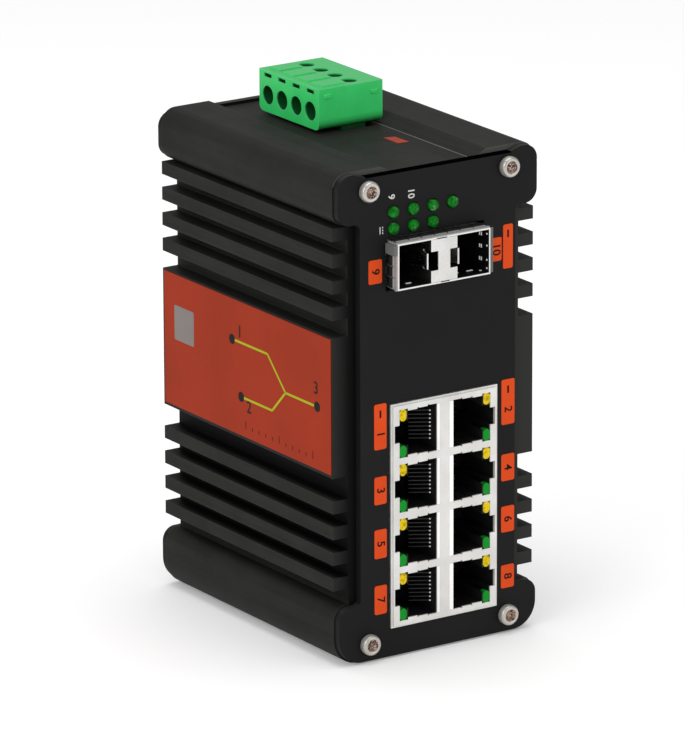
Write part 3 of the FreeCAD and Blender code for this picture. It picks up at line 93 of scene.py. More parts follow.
class Finish:
    """A material, whose node tree is built from a few small steps."""

    def __init__(self, name):
        self.material = bpy.data.materials.new(name)
        self.material.use_nodes = True
        self.tree = self.material.node_tree
        self.shader = self.tree.nodes["Principled BSDF"]
        self.coordinates = self.add("ShaderNodeTexCoord").outputs
        self.place = self.coordinates["Object"]

    @cached_property
    def axes(self):
        """A point's X, Y and Z."""
        return self.split(self.place)

    @cached_property
    def facing(self):
        """The X, Y and Z of a surface's normal."""
        return self.split(self.coordinates["Normal"])

    def add(self, kind, **settings):
        node = self.tree.nodes.new(kind)
        for key, value in settings.items():
            setattr(node, key, value)
        return node

    def link(self, source, target):
        self.tree.links.new(source, target)

    def feed(self, target, value):
        """Link a socket to the target, or set the target to a number or colour."""
        if isinstance(value, bpy.types.NodeSocket):
            self.link(value, target)
        else:
            target.default_value = value

    def set(self, **values):
        """Feed the shader's inputs, each named in lower case with underscores."""
        for key, value in values.items():
            label = key.replace("_", " ").title().replace("Ior", "IOR")
            self.feed(self.shader.inputs[label], value)

    def split(self, vector):
        node = self.add("ShaderNodeSeparateXYZ")
        self.link(vector, node.inputs[0])
        return node.outputs

    def stretch(self, x, y, z):
        """The object's own coordinates, stretched so that grain can run one way."""
        node = self.add("ShaderNodeVectorMath", operation="MULTIPLY")
        self.link(self.place, node.inputs[0])
        node.inputs[1].default_value = (x, y, z)
        return node.outputs["Vector"]

    def noise(self, scale, detail, rough, vector=None):
        node = self.add("ShaderNodeTexNoise")
        self.link(vector or self.place, node.inputs["Vector"])
        node.inputs["Scale"].default_value = scale
        node.inputs["Detail"].default_value = detail
        node.inputs["Roughness"].default_value = rough
        return node.outputs["Fac"]

    def remap(self, value, low, high, to_low=0.0, to_high=1.0):
        node = self.add("ShaderNodeMapRange")
        self.link(value, node.inputs["Value"])
        for key, number in (("From Min", low), ("From Max", high),
                            ("To Min", to_low), ("To Max", to_high)):
            node.inputs[key].default_value = number
        return node.outputs["Result"]

    def sums(self, operation, first, second=0.0):
        node = self.add("ShaderNodeMath", operation=operation)
        self.feed(node.inputs[0], first)
        self.feed(node.inputs[1], second)
        return node.outputs["Value"]

    def plus(self, first, second):
        return self.sums("ADD", first, second)

    def times(self, first, second):
        return self.sums("MULTIPLY", first, second)

    def size(self, value):
        return self.sums("ABSOLUTE", value)

    def blend(self, factor, first, second):
        """The first colour where the factor is 0, and the second where it is 1."""
        node = self.add("ShaderNodeMix", data_type="RGBA")
        self.feed(node.inputs["Factor"], factor)
        self.feed(node.inputs[6], first)
        self.feed(node.inputs[7], second)
        return node.outputs[2]

    def mottled(self, cloud, first, second):
        """Two colours that drift into each other with a noise."""
        return self.blend(self.remap(cloud, *NOISE), first, second)

    def reach(self, index, low, high):
        """How far a point lies along an axis from the middle between low and high."""
        return self.size(self.sums("SUBTRACT", self.axes[index], (low + high) / 2))

    def between(self, index, low, high, soft):
        """1 between low and high along an axis and 0 outside, over a soft edge within them."""
        half = (high - low) / 2
        return self.remap(self.reach(index, low, high), half - soft, half, 1.0, 0.0)

    def bevel(self, radius):
        """The normal of the surface with its edges rounded."""
        node = self.add("ShaderNodeBevel", samples=4)
        node.inputs["Radius"].default_value = radius
        return node.outputs["Normal"]

    def edges(self, radius):
        """A mask that is 1 on edges sharper than the radius and 0 on flat faces."""
        flat = self.add("ShaderNodeNewGeometry").outputs["Normal"]
        node = self.add("ShaderNodeVectorMath", operation="DOT_PRODUCT")
        self.link(self.bevel(radius), node.inputs[0])
        self.link(flat, node.inputs[1])
        return self.remap(node.outputs["Value"], 0.75, 0.99, 1.0, 0.0)

    def surface(self, height, strength, distance, radius=0.0):
        """Fine relief from a height, on top of softly rounded edges, to end the material."""
        bump = self.add("ShaderNodeBump")
        bump.inputs["Strength"].default_value = strength
        bump.inputs["Distance"].default_value = distance
        self.link(height, bump.inputs["Height"])
        if radius:
            self.link(self.bevel(radius), bump.inputs["Normal"])
        self.link(bump.outputs["Normal"], self.shader.inputs["Normal"])
        return self.material


def tone(red, green, blue):
    """A screen colour, 0 to 255, as the linear colour that a shader takes."""
    linear = []
    for value in (red, green, blue):
        value = value / 255
        linear.append(value / 12.92 if value < 0.04045 else ((value + 0.055) / 1.055) ** 2.4)
    return (*linear, 1.0)


def shaded(color, factor, lift=0.0):
    """A colour made darker or lighter by a factor, and lifted towards white."""
    return (*(min(1.0, value * factor + lift) for value in color[:3]), 1.0)


def anodised():
    """Blasted and anodised aluminium: near black, with a fine grain and faint drawing lines.

    Edges are paler, as wear and a painted highlight, and the lower grooves get a painted shadow.
    The sawn ends get painted shade: darker from the left to the middle, an even grey on the
    right, and a painted highlight above the recessed top.
    """
    finish = Finish("anodised_black")
    grain = finish.noise(5200, 2.0, 0.6)
    cloud = finish.noise(70, 3.0, 0.55)
    drawn = finish.noise(900, 2.0, 0.5, finish.stretch(1.0, 0.02, 1.0))
    shade = finish.plus(finish.times(cloud, 0.6), finish.times(drawn, 0.4))
    base = finish.blend(finish.remap(shade, 0.35, 0.65), tone(33, 33, 32), tone(42, 42, 40))
    # painted highlight, with some wear, on the edges
    base = finish.blend(finish.times(finish.edges(0.35 * MM), 0.5), base, tone(78, 78, 76))
    x, _, z = finish.axes
    # painted shadow in the lower grooves, between the foot and the label
    in_groove = finish.remap(finish.size(x), 27.4 * MM, 29.0 * MM, 1.0, 0.0)
    above_foot = finish.remap(z, 15 * MM, 17 * MM)
    below_label = finish.remap(z, 52 * MM, 56 * MM, 1.0, 0.0)
    shadow = finish.times(in_groove, finish.times(above_foot, below_label))
    base = finish.blend(shadow, base, tone(14, 14, 14))
    # painted shade and highlight on the sawn ends
    sawn = finish.remap(finish.size(finish.facing[1]), 0.97, 0.99)
    painted_end_shading = finish.blend(finish.remap(x, -29.2 * MM, -25.0 * MM), tone(39, 39, 38),
                       tone(12, 12, 12))
    painted_end_shading = finish.blend(finish.remap(x, -1.0 * MM, 1.0 * MM), painted_end_shading, tone(49, 49, 47))
    painted_end_shading = finish.blend(finish.remap(z, 121.8 * MM, 122.2 * MM), painted_end_shading, tone(84, 84, 82))
    base = finish.blend(sawn, base, painted_end_shading)
    finish.set(base_color=base, specular_ior_level=0.06,
               roughness=finish.remap(grain, *NOISE, 0.5, 0.66))
    height = finish.plus(grain, finish.times(drawn, 0.5))
    return finish.surface(height, 0.28, 0.05 * MM, 0.25 * MM)


def plate_paint():
    """Fine powder coat on the plates, with painted light that makes what faces upward paler."""
    finish = Finish("plate_black")
    grain = finish.noise(3400, 2.0, 0.5)
    cloud = finish.noise(45, 2.0, 0.5)
    base = finish.mottled(cloud, tone(22, 22, 22), tone(26, 26, 26))
    # painted light: faces that point up are paler
    base = finish.blend(finish.remap(finish.facing[2], 0.6, 0.8), base, tone(42, 42, 40))
    finish.set(base_color=base, specular_ior_level=0.1,
               roughness=finish.remap(grain, *NOISE, 0.48, 0.62))
    return finish.surface(grain, 0.2, 0.04 * MM, 0.1 * MM)


def bright_metal(name, color, low, high, scale=EVEN, grain_scale=900, metallic=1.0):
    """Metal with a roughness from low to high, and a grain that its scale can stretch one way."""
    finish = Finish(name)
    grain = finish.noise(grain_scale, 4.0, 0.6, finish.stretch(*scale))
    cloud = finish.noise(120, 3.0, 0.5)
    finish.set(base_color=finish.mottled(cloud, shaded(color, 0.82), color), metallic=metallic,
               roughness=finish.remap(grain, *NOISE, low, high))
    return finish.surface(grain, 0.12, 0.03 * MM, 0.12 * MM)


def lit(material, strength):
    """Let a material give off a little white light, where the studio doesn't reach."""
    shader = material.node_tree.nodes["Principled BSDF"]
    shader.inputs["Emission Color"].default_value = WHITE
    shader.inputs["Emission Strength"].default_value = strength


def cage_sheet():
    """Nickel-plated sheet, bright on the outside and at its mouth; painted shade in the tunnels.
    """
    finish = Finish("cage_sheet")
    grain = finish.noise(900, 4.0, 0.6, finish.stretch(*LONG_Y))
    inside = finish.remap(finish.axes[1], (CAGE_LOW.y - 1.0) * MM, (CAGE_LOW.y - 0.4) * MM)
    wall, soft = 0.36, 0.05
    for index in (0, 2):
        low, high = (CAGE_LOW[index] + wall) * MM, (CAGE_HIGH[index] - wall) * MM
        inside = finish.times(inside, finish.between(index, low, high, soft * MM))
    # painted shade: near black inside the tunnels
    base = finish.blend(inside, (0.80, 0.79, 0.77, 1.0), (0.012, 0.012, 0.012, 1.0))
    finish.set(base_color=base, metallic=0.6, roughness=finish.remap(grain, *NOISE, 0.3, 0.45))
    return finish.surface(grain, 0.12, 0.03 * MM, 0.1 * MM)


def finger_steel():
    """Spring fingers: bright where they bow out in front, painted shade where they enter the
    window.
    """
    finish = Finish("finger_steel")
    grain = finish.noise(900, 3.0, 0.6)
    low, high = CAGE_LOW.x * MM, CAGE_HIGH.x * MM
    half, soft = (high - low) / 2, 0.1 * MM
    limit = finish.remap(finish.reach(0, low, high), half - soft, half + soft,
                         (CAGE_LOW.y + 1.7) * MM, (CAGE_LOW.y + 1.75) * MM)
    behind = finish.remap(finish.sums("SUBTRACT", finish.axes[1], limit), -soft, soft)
    # painted shade: near black behind the limit, where the fingers run into the window
    base = finish.blend(behind, (0.36, 0.36, 0.35, 1.0), (0.014, 0.014, 0.014, 1.0))
    finish.set(base_color=base, metallic=0.4, specular_ior_level=0.2,
               roughness=finish.remap(grain, *NOISE, 0.42, 0.6))
    return finish.surface(grain, 0.12, 0.03 * MM, 0.1 * MM)


def moulded(name, color, low, high):
    """Moulded plastic with a fine spark-eroded texture and a roughness from low to high."""
    finish = Finish(name)
    grain = finish.noise(2600, 2.0, 0.5)
    cloud = finish.noise(150, 2.0, 0.5)
    finish.set(base_color=finish.mottled(cloud, color, shaded(color, 1.18)),
               specular_ior_level=0.2, roughness=finish.remap(grain, *NOISE, low, high))
    return finish.surface(grain, 0.18, 0.04 * MM, 0.15 * MM)


def painted_socket_reflection():
    """The hexagon socket of a screw: bare steel, a painted brown reflection and dark painted
    shade.
    """
    finish = Finish("socket_painted_reflection")
    patch = finish.noise(1500, 2.0, 0.6)
    speck = finish.noise(2600, 1.0, 0.5)
    # painted reflection in brown, over dark patches of painted shade; the pale specks are bare
    # steel
    base = finish.blend(finish.remap(patch, 0.42, 0.56), (0.035, 0.02, 0.014, 1.0),
                        (0.42, 0.25, 0.16, 1.0))
    base = finish.blend(finish.remap(speck, 0.58, 0.64), base, (0.75, 0.73, 0.7, 1.0))
    finish.set(base_color=base, metallic=0.4, roughness=finish.remap(patch, *NOISE, 0.5, 0.3))
    return finish.surface(speck, 0.3, 0.06 * MM)


def terminal_plastic():
    """Green polyamide, with a painted highlight on its edges and painted shade on its top,
    in its wells and in its wire entries.
    """
    finish = Finish("terminal_green")
    grain = finish.noise(2200, 2.0, 0.5)
    cloud = finish.noise(150, 2.0, 0.5)
    base = finish.mottled(cloud, tone(50, 216, 108), tone(60, 226, 118))
    # painted shade: faces that point up are darker
    base = finish.blend(finish.remap(finish.facing[2], 0.8, 0.95), base, tone(62, 178, 100))
    # painted highlight on the edges
    base = finish.blend(finish.times(finish.edges(0.3 * MM), 0.6), base, tone(150, 236, 178))
    inside = None
    for index, wall in enumerate((0.3, 0.3, 0.8)):
        low, high = (PLUG_LOW[index] + wall) * MM, (PLUG_HIGH[index] - wall) * MM
        step = finish.between(index, low, high, 0.1 * MM)
        inside = step if inside is None else finish.times(inside, step)
    ends = finish.remap(finish.size(finish.facing[1]), 0.5, 0.9, 0.0, 0.85)
    foot = finish.remap(finish.axes[2], (PLUG_HIGH.z - 10.3) * MM, (PLUG_HIGH.z - 8.2) * MM,
                        1.0, 0.0)
    base = finish.blend(finish.times(ends, foot), base, tone(20, 112, 34))
    # painted shade inside the wells and wire entries
    base = finish.blend(finish.times(inside, 0.9), base, tone(10, 66, 28))
    finish.set(base_color=base, specular_ior_level=0.3,
               roughness=finish.remap(grain, *NOISE, 0.38, 0.52))
    return finish.surface(grain, 0.18, 0.04 * MM, 0.2 * MM)


def lens(name, color, glow, shade_from=None, painted_glints=False):
    """Tinted moulded lens, a little lit from inside. It is black and unlit behind shade_from."""
    finish = Finish(name)
    # painted shade: darker towards the rim
    rim = finish.add("ShaderNodeLayerWeight")
    rim.inputs["Blend"].default_value = 0.35
    darker = shaded(color, 0.35)
    base = finish.blend(rim.outputs["Facing"], color, darker)
    if painted_glints:
        # painted highlight: pale patches that stand for glints, with darker ones between
        patch = finish.noise(1300, 2.0, 0.6)
        base = finish.blend(finish.remap(patch, 0.34, 0.5, 0.8, 0.0), base, darker)
        base = finish.blend(finish.remap(patch, 0.6, 0.68), base, shaded(color, 0.7, 0.12))
    if shade_from is not None:
        # painted shade behind shade_from: black and without glow
        rear = finish.remap(finish.axes[1], shade_from * MM, (shade_from + 0.4) * MM)
        base = finish.blend(rear, base, tone(14, 14, 14))
        glow = finish.remap(rear, 0.0, 1.0, glow, 0.0)
    finish.set(base_color=base, roughness=0.16, specular_ior_level=0.1, coat_weight=0.03,
               coat_roughness=0.04, emission_color=color, emission_strength=glow)
    return finish.surface(finish.noise(800, 2.0, 0.5), 0.05, 0.03 * MM, 0.1 * MM)


def board_lacquer():
    """Green solder mask with the pattern of its tracks."""
    finish = Finish("board_green")
    brick = finish.add("ShaderNodeTexBrick")
    finish.link(finish.place, brick.inputs["Vector"])
    brick.inputs["Scale"].default_value = 180
    tracks = brick.outputs["Fac"]
    base = finish.blend(finish.remap(tracks, 0.0, 1.0), tone(18, 74, 40), tone(30, 96, 54))
    finish.set(base_color=base, roughness=0.35)
    return finish.surface(tracks, 0.1, 0.04 * MM)


def film(name, color, rough=0.42, sheen=0.06):
    """Printed label film, slightly uneven and with a soft sheen."""
    finish = Finish(name)
    grain = finish.noise(1500, 3.0, 0.5)
    cloud = finish.noise(60, 3.0, 0.5)
    finish.set(base_color=finish.mottled(cloud, shaded(color, 0.86), color),
               specular_ior_level=sheen,
               roughness=finish.remap(grain, *NOISE, rough - 0.06, rough + 0.06))
    return finish.surface(grain, 0.08, 0.03 * MM)


anodised_black = anodised()
plate_black = plate_paint()
screw_steel = bright_metal("screw_steel", (0.56, 0.53, 0.49, 1.0), 0.28, 0.42)
knurl_steel = bright_metal("knurl_steel", (0.40, 0.39, 0.36, 1.0), 0.35, 0.5, metallic=0.25)
# the screws' sockets carry painted shade and a painted brown reflection
socket_shade_and_reflection = painted_socket_reflection()
# near-black metal for the contact wires: painted shade inside the sockets
wire_in_painted_shade = bright_metal("wire_in_painted_shade", (0.04, 0.04, 0.04, 1.0), 0.3, 0.5)
# white glowing metal for glints: painted highlight
painted_glint_white = bright_metal("painted_glint_white", (0.92, 0.91, 0.89, 1.0), 0.25, 0.4, metallic=0.1)
lit(painted_glint_white, 0.2)
shield_tin = bright_metal("shield_tin", (0.80, 0.79, 0.76, 1.0), 0.34, 0.5, LONG_Z, 700, 0.35)
# a paler, glowing copy of the shield's tin: painted highlight
shield_painted_highlight = bright_metal("shield_painted_highlight", (0.95, 0.94, 0.92, 1.0), 0.3, 0.45, LONG_Z, 700,
                             0.35)
lit(shield_painted_highlight, 0.14)
cage_nickel = bright_metal("cage_nickel", (0.78, 0.77, 0.75, 1.0), 0.22, 0.36, LONG_Y)
cage_bright = cage_sheet()
spring_bright = bright_metal("spring_bright", (0.72, 0.71, 0.69, 1.0), 0.2, 0.32)
finger_sheet = finger_steel()
bracket_zinc = bright_metal("bracket_zinc", (0.64, 0.65, 0.67, 1.0), 0.3, 0.48, (1.0, 1.0, 0.15))
contact_gold = bright_metal("contact_gold", (0.80, 0.58, 0.24, 1.0), 0.2, 0.34)
bare_aluminium = bright_metal("bare_aluminium", (0.70, 0.70, 0.71, 1.0), 0.35, 0.5)
connector_black = moulded("connector_black", tone(24, 24, 25), 0.4, 0.55)
chip_black = moulded("chip_black", tone(28, 28, 30), 0.45, 0.6)
terminal_green = terminal_plastic()
LENS_DEPTH = 0.9  # how far the sockets' lights are clear behind the plate's face
light_yellow = lens("light_yellow", tone(232, 200, 6), 0.08, PLATE + LENS_DEPTH, True)
light_green = lens("light_green", tone(10, 146, 40), 0.06, PLATE + LENS_DEPTH)
lamp_green = lens("lamp_green", tone(4, 120, 22), 0.03, painted_glints=True)
board_green = board_lacquer()
label_rust = film("label_rust", tone(158, 47, 16))
tag_orange = film("tag_orange", tone(226, 78, 30))
painted_shadow_black = film("painted_shadow_black", tone(2, 2, 2), 0.9, 0.0)
trim_grey = film("trim_grey", tone(112, 112, 110), 0.4)
painted_edge_highlight = film("painted_edge_highlight", tone(112, 112, 110), 0.5)
ink_black = film("ink_black", tone(22, 20, 20))
ink_white = film("ink_white", tone(214, 214, 210))
ink_lime = film("ink_lime", tone(168, 176, 30))
ink_grey = film("ink_grey", tone(132, 124, 120))

# What each CAD node is made of.
WEAR = {
    "housing_extrusion": anodised_black, "front_plate": plate_black, "rear_plate": plate_black,
    "front_screws": screw_steel, "rear_screws": screw_steel, "rj45_shield": shield_tin,
    "rj45_insulator": connector_black, "rj45_contacts": contact_gold,
    "rj45_yellow_lights": light_yellow, "rj45_green_lights": light_green,
    "sfp_cage": cage_bright, "sfp_divider": cage_nickel, "sfp_emi_fingers": finger_sheet,
    "sfp_connectors": connector_black, "status_leds": lamp_green, "led_holder": connector_black,
    "main_board": board_green, "power_board": board_green, "switch_chip": chip_black,
    "heat_spreader": bare_aluminium, "capacitor": bare_aluminium, "inductor": chip_black,
    "board_link": connector_black, "terminal_header": terminal_green,
    "terminal_pins": screw_steel, "terminal_plug": terminal_green,
    "terminal_clamps": screw_steel, "terminal_screws": screw_steel, "side_label": label_rust,
    "din_bracket": bracket_zinc, "clip_screws": screw_steel, "din_latch": bracket_zinc,
    "din_spring": spring_bright,
}
for name, material in WEAR.items():
    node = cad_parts[name]
    node.data.materials.clear()
    node.data.materials.append(material)
    for face in node.data.polygons:
        face.material_index = 0


# Frames: each takes (across, up, out) to the part's frame.
def aimed(across, up, out):
    return Matrix((across, up, out)).transposed().to_4x4()


HERE = Matrix.Identity(4)
TO_FRONT = aimed((1, 0, 0), (0, 0, 1), (0, -1, 0))
TO_REAR = aimed((-1, 0, 0), (0, 0, 1), (0, 1, 0))
TO_LEFT = aimed((0, -1, 0), (0, 0, 1), (-1, 0, 0))


def moved(x, y, z):
    return Matrix.Translation((x * MM, y * MM, z * MM))


def on_plate(x, z, turn=0.0, lift=0.0):
    """Frame on the front plate at x, z; a turn is in degrees, anticlockwise as seen."""
    return moved(x, PLATE - lift, z) @ TO_FRONT @ Matrix.Rotation(math.radians(turn), 4, "Z")


def on_label(y=0.0, z=0.0):
    """Frame on the left label at y from its front edge and z from its lower edge."""
    return moved(LABEL_LOW.x, LABEL_LOW.y + y, LABEL_LOW.z + z) @ TO_LEFT


# Flat outlines, as points (across, up).
def rounded_outline(width, height, radius, steps=5):
    points = []
    for corner, (sx, sy) in enumerate(((1, 1), (-1, 1), (-1, -1), (1, -1))):
        for step in range(steps + 1):
            angle = math.radians(90 * corner + 90 * step / steps)
            points.append((sx * (width / 2 - radius) + radius * math.cos(angle),
                           sy * (height / 2 - radius) + radius * math.sin(angle)))
    return points


def rectangle(left, low, right, high):
    return [(left, low), (right, low), (right, high), (left, high)]


def arc(x, y, radius, degrees):
    """Points on a circle, at these degrees."""
    return [(x + radius * math.cos(math.radians(a)), y + radius * math.sin(math.radians(a)))
            for a in degrees]


def stroke(start, end, width):
    """A straight line of print."""
    start, end = Vector(start), Vector(end)
    side = (end - start).orthogonal().normalized() * width / 2
    return [tuple(point + offset) for point, offset in
            ((start, side), (start, -side), (end, -side), (end, side))]


# Meshes and pieces.
def closed_mesh(name, build):
    """A mesh that a function fills in, with its normals outward."""
    mesh = bpy.data.meshes.new(name)
    shape = bmesh.new()
    build(shape)
    bmesh.ops.recalc_face_normals(shape, faces=shape.faces)
    shape.to_mesh(mesh)
    shape.free()
    return mesh


def prism(outlines, matrix, depth):
    """A mesh of flat outlines raised by a depth."""
    def build(shape):
        for outline in outlines:
            back = [shape.verts.new(matrix @ Vector((x * MM, y * MM, 0))) for x, y in outline]
            face = [shape.verts.new(matrix @ Vector((x * MM, y * MM, depth * MM)))
                    for x, y in outline]
            shape.faces.new(face)
            shape.faces.new(back[::-1])
            for index in range(len(outline)):
                after = (index + 1) % len(outline)
                shape.faces.new((back[index], back[after], face[after], face[index]))

    return closed_mesh("prism", build)


def circle(radius, out, count):
    """A ring of points round the axis; the radius may differ from point to point."""
    radii = radius if isinstance(radius, list) else [radius] * count
    return [(r * math.cos(2 * math.pi * index / count), r * math.sin(2 * math.pi * index / count),
             out) for index, r in enumerate(radii)]


def skin(shape, rings, matrix, finishes=None):
    """A closed skin over rings of equal count, with a cap on both ends.

    finishes gives a material index to the band that follows each ring, and to the far cap.
    Rings of more than 8 points are round, and their bands are shaded smooth.
    """
    rows = [[shape.verts.new(matrix @ (Vector(point) * MM)) for point in ring] for ring in rings]
    for level, (near, far) in enumerate(zip(rows, rows[1:])):
        for index in range(len(near)):
            after = (index + 1) % len(near)
            face = shape.faces.new((near[index], near[after], far[after], far[index]))
            face.material_index = finishes[level] if finishes else 0
            face.smooth = len(near) > 8
    shape.faces.new(rows[0][::-1])
    shape.faces.new(rows[-1]).material_index = finishes[-1] if finishes else 0


def block(shape, low, high):
    """A box between two corners, in the part's frame."""
    xs, ys, zs = zip(low, high)
    rings = [[(xs[a], ys[b], z) for a, b in ((0, 0), (1, 0), (1, 1), (0, 1))] for z in zs]
    skin(shape, rings, HERE)


def piece(name, data, material, matrix=HERE):
    """An object that rides on the switch."""
    made = bpy.data.objects.new(name, data)
    scene.collection.objects.link(made)
    made.matrix_world = matrix
    data.materials.append(material)
    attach(made, "switch")
    return made


def solid_piece(name, build, materials):
    """A piece whose mesh a function fills in; its first material is the main one."""
    made = piece(name, closed_mesh(name, build), materials[0])
    for material in materials[1:]:
        made.data.materials.append(material)
    return made


PRINT, THIN_PRINT = 0.04, 0.03  # how far print stands out
FONT_SCALE = 1.38  # the font's size over the height of its digits
BOLDER = 0.04  # added all round each digit


def numeral(name, text, matrix, height, material, depth=PRINT):
    """A plain number as a thin raised print."""
    curve = bpy.data.curves.new(name, "FONT")
    curve.body = text
    curve.size = height * FONT_SCALE * MM
    curve.align_x = "CENTER"
    curve.align_y = "CENTER"
    curve.extrude = depth * MM / 2
    curve.offset = BOLDER * MM
    return piece(name, curve, material, matrix=matrix @ moved(0, 0, depth / 2))


# Cap screws with a knurled side, a chamfered face and a hexagon socket.
CAP = 2.75  # from a screw's axis to the sides of the screws' box
HEAD, HEAD_HEIGHT = 2.6, 2.0
SOCKET, SOCKET_FLOOR = 1.25, 0.8
SHANK, SHANK_LENGTH = 1.45, 10.0
TEETH, TOOTH = 30, 0.1
BARE, SOCKET_REFLECTION, KNURLED = 0, 1, 2  # in the order of the piece's materials


def cap_screw(shape, matrix):
    count = TEETH * 2
    knurl = [HEAD - TOOTH * (index % 2) for index in range(count)]
    hexagon = []
    for index in range(count):
        angle = (360 * index / count + 30) % 60 - 30
        hexagon.append(SOCKET / math.cos(math.radians(angle)))
    profile = [
        (HEAD - 0.12, 0.0, KNURLED), (knurl, 0.12, KNURLED), (knurl, HEAD_HEIGHT - 0.5, KNURLED),
        (HEAD - 0.1, HEAD_HEIGHT - 0.45, BARE), (HEAD - 0.14, HEAD_HEIGHT - 0.3, BARE),
        (HEAD - 0.42, HEAD_HEIGHT, BARE), (SOCKET + 0.45, HEAD_HEIGHT, BARE),
        (SOCKET + 0.3, HEAD_HEIGHT - 0.12, SOCKET_REFLECTION), (hexagon, HEAD_HEIGHT - 0.25, SOCKET_REFLECTION),
        (hexagon, SOCKET_FLOOR, SOCKET_REFLECTION), (0.25, SOCKET_FLOOR - 0.18, SOCKET_REFLECTION),
    ]
    skin(shape, [circle(radius, out, count) for radius, out, _ in profile], matrix,
         [finish for _, _, finish in profile])
    skin(shape, [circle(SHANK, out, 16) for out in (-SHANK_LENGTH, 0.0)], matrix)


for name, side_frame in (("front_screws", TO_FRONT), ("rear_screws", TO_REAR)):
    low, high = box_mm(name)
    seat = low.y + HEAD_HEIGHT if side_frame is TO_FRONT else high.y - HEAD_HEIGHT

    def heads(shape):
        for index, x in enumerate((low.x + CAP, high.x - CAP)):
            for step, z in enumerate((low.z + CAP, high.z - CAP)):
                turn = Matrix.Rotation(0.4 + 0.7 * index + 1.9 * step, 4, "Z")
                cap_screw(shape, moved(x, seat, z) @ side_frame @ turn)

    made = solid_piece(name.replace("screws", "cap_screws"), heads,
                       [screw_steel, socket_shade_and_reflection, knurl_steel])
    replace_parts(made, name)

# Domed indicators on short stems, four in the upper row and three below.
LED_PITCH_X, LED_PITCH_Z, LED_RADIUS = 5.78, 4.1, 1.5
STEM, DOME_FOOT, DOME_RISE, DOME_STEPS, DOME_SIDES = -4.0, 0.3, 0.9, 8, 28
low, high = box_mm("status_leds")
LED_X, LED_Z = low.x + LED_RADIUS, high.z - LED_RADIUS


def lamps(shape):
    for row, columns in ((0, 4), (1, 3)):
        for column in range(columns):
            spot = on_plate(LED_X + LED_PITCH_X * column, LED_Z - LED_PITCH_Z * row)
            rings = [circle(LED_RADIUS, out, DOME_SIDES) for out in (STEM, DOME_FOOT)]
            for step in range(1, DOME_STEPS):
                angle = math.radians(90 * step / DOME_STEPS)
                rings.append(circle(LED_RADIUS * math.cos(angle),
                                    DOME_FOOT + DOME_RISE * math.sin(angle), DOME_SIDES))
            skin(shape, rings, spot)


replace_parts(solid_piece("lamp_domes", lamps, [lamp_green]), "status_leds")

# Two columns of four sockets, one on each side of a middle line.
PORT_X, PORT_Z, PORT_PITCH, PORT_INNER = 1.7, 15.445, 13.97, 2.4
WIRE, WIRE_PITCH = 0.13, 1.02


def sockets():
    """The side of each socket, -1 or 1, and the height of its middle."""
    for side in (-1, 1):
        for row in range(4):
            yield side, PORT_Z + PORT_PITCH * row


def contacts():
    """The side and height of each contact."""
    for side, z in sockets():
        for index in range(8):
            yield side, z + (index - 3.5) * WIRE_PITCH


def span(side, near, far):
    """Two distances from the middle line on one side, as the lower and the higher X."""
    return sorted((PORT_X + side * near, PORT_X + side * far))


# Thin sprung wires that slope back from the sockets' inner walls, near black as painted shade,
# and their bends there, bright and glowing as a painted highlight.
def wires(shape):
    start, run, back = SHIELD + 3.0, 4.6, 2.8
    for side, z in contacts():
        wall = PORT_X + side * PORT_INNER
        tip = wall + side * run
        path = [(wall, start), (tip, start + back), (tip, start + back + 0.25),
                (wall, start + 0.3)]
        rings = [[(x, y, z + offset) for x, y in path] for offset in (-WIRE, WIRE)]
        skin(shape, rings, HERE)


def wire_bends(shape):
    half = 0.15
    for side, z in contacts():
        near, far = span(side, PORT_INNER, PORT_INNER + 0.3)
        block(shape, (near, SHIELD + 2.8, z - half), (far, SHIELD + 3.1, z + half))


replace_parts(solid_piece("contact_wires", wires, [wire_in_painted_shade]), "rj45_contacts")
solid_piece("contact_bends", wire_bends, [painted_glint_white])


# Folded lips along each socket's inner edge, narrower on the left, with a glowing painted
# highlight.
def lips(shape):
    half = 5.9
    for side, z in sockets():
        width = 0.7 if side < 0 else 1.1
        near, far = span(side, PORT_INNER - width, PORT_INNER)
        block(shape, (near, SHIELD - 0.08, z - half), (far, SHIELD + 0.05, z + half))


solid_piece("socket_lips", lips, [shield_painted_highlight])


# Dark cheeks between the lights and the plug openings.
def light_cheeks(shape):
    inner, outer = 3.1, 6.2
    for side, z in sockets():
        near, far = span(side, 11.06, 11.32)
        for low, high in ((inner, outer), (-outer, -inner)):
            block(shape, (near, SHIELD - 0.02, z + low), (far, SHIELD + 0.45, z + high))


solid_piece("light_cheeks", light_cheeks, [connector_black])


# Trim of the module cage: a flange on its right, a plate on its left, slots, and glowing tabs
# that are painted highlights, as dimples on its right wall and as bare glints on its floor.
def in_cage(shape, low, high):
    """A block whose Y counts from the cage's face."""
    block(shape, (low[0], CAGE_LOW.y + low[1], low[2]), (high[0], CAGE_LOW.y + high[1], high[2]))


def cage_trim(shape):
    in_cage(shape, (CAGE_HIGH.x - 0.1, 0.5, CAGE_LOW.z + 0.2),
            (CAGE_HIGH.x + 1.15, 0.65, CAGE_HIGH.z - 0.2))
    in_cage(shape, (CAGE_LOW.x - 0.95, 0.15, CAGE_HIGH.z - 2.9),
            (CAGE_LOW.x + 0.1, 4.0, CAGE_HIGH.z - 0.35))


def cage_slots(shape):
    for x, z, width in ((-3.1, CAGE_HIGH.z - 0.4, 3.0), (-1.9, CAGE_LOW.z + 0.2, 2.6)):
        in_cage(shape, (x, -0.02, z), (x + width, 0.3, z + 0.22))


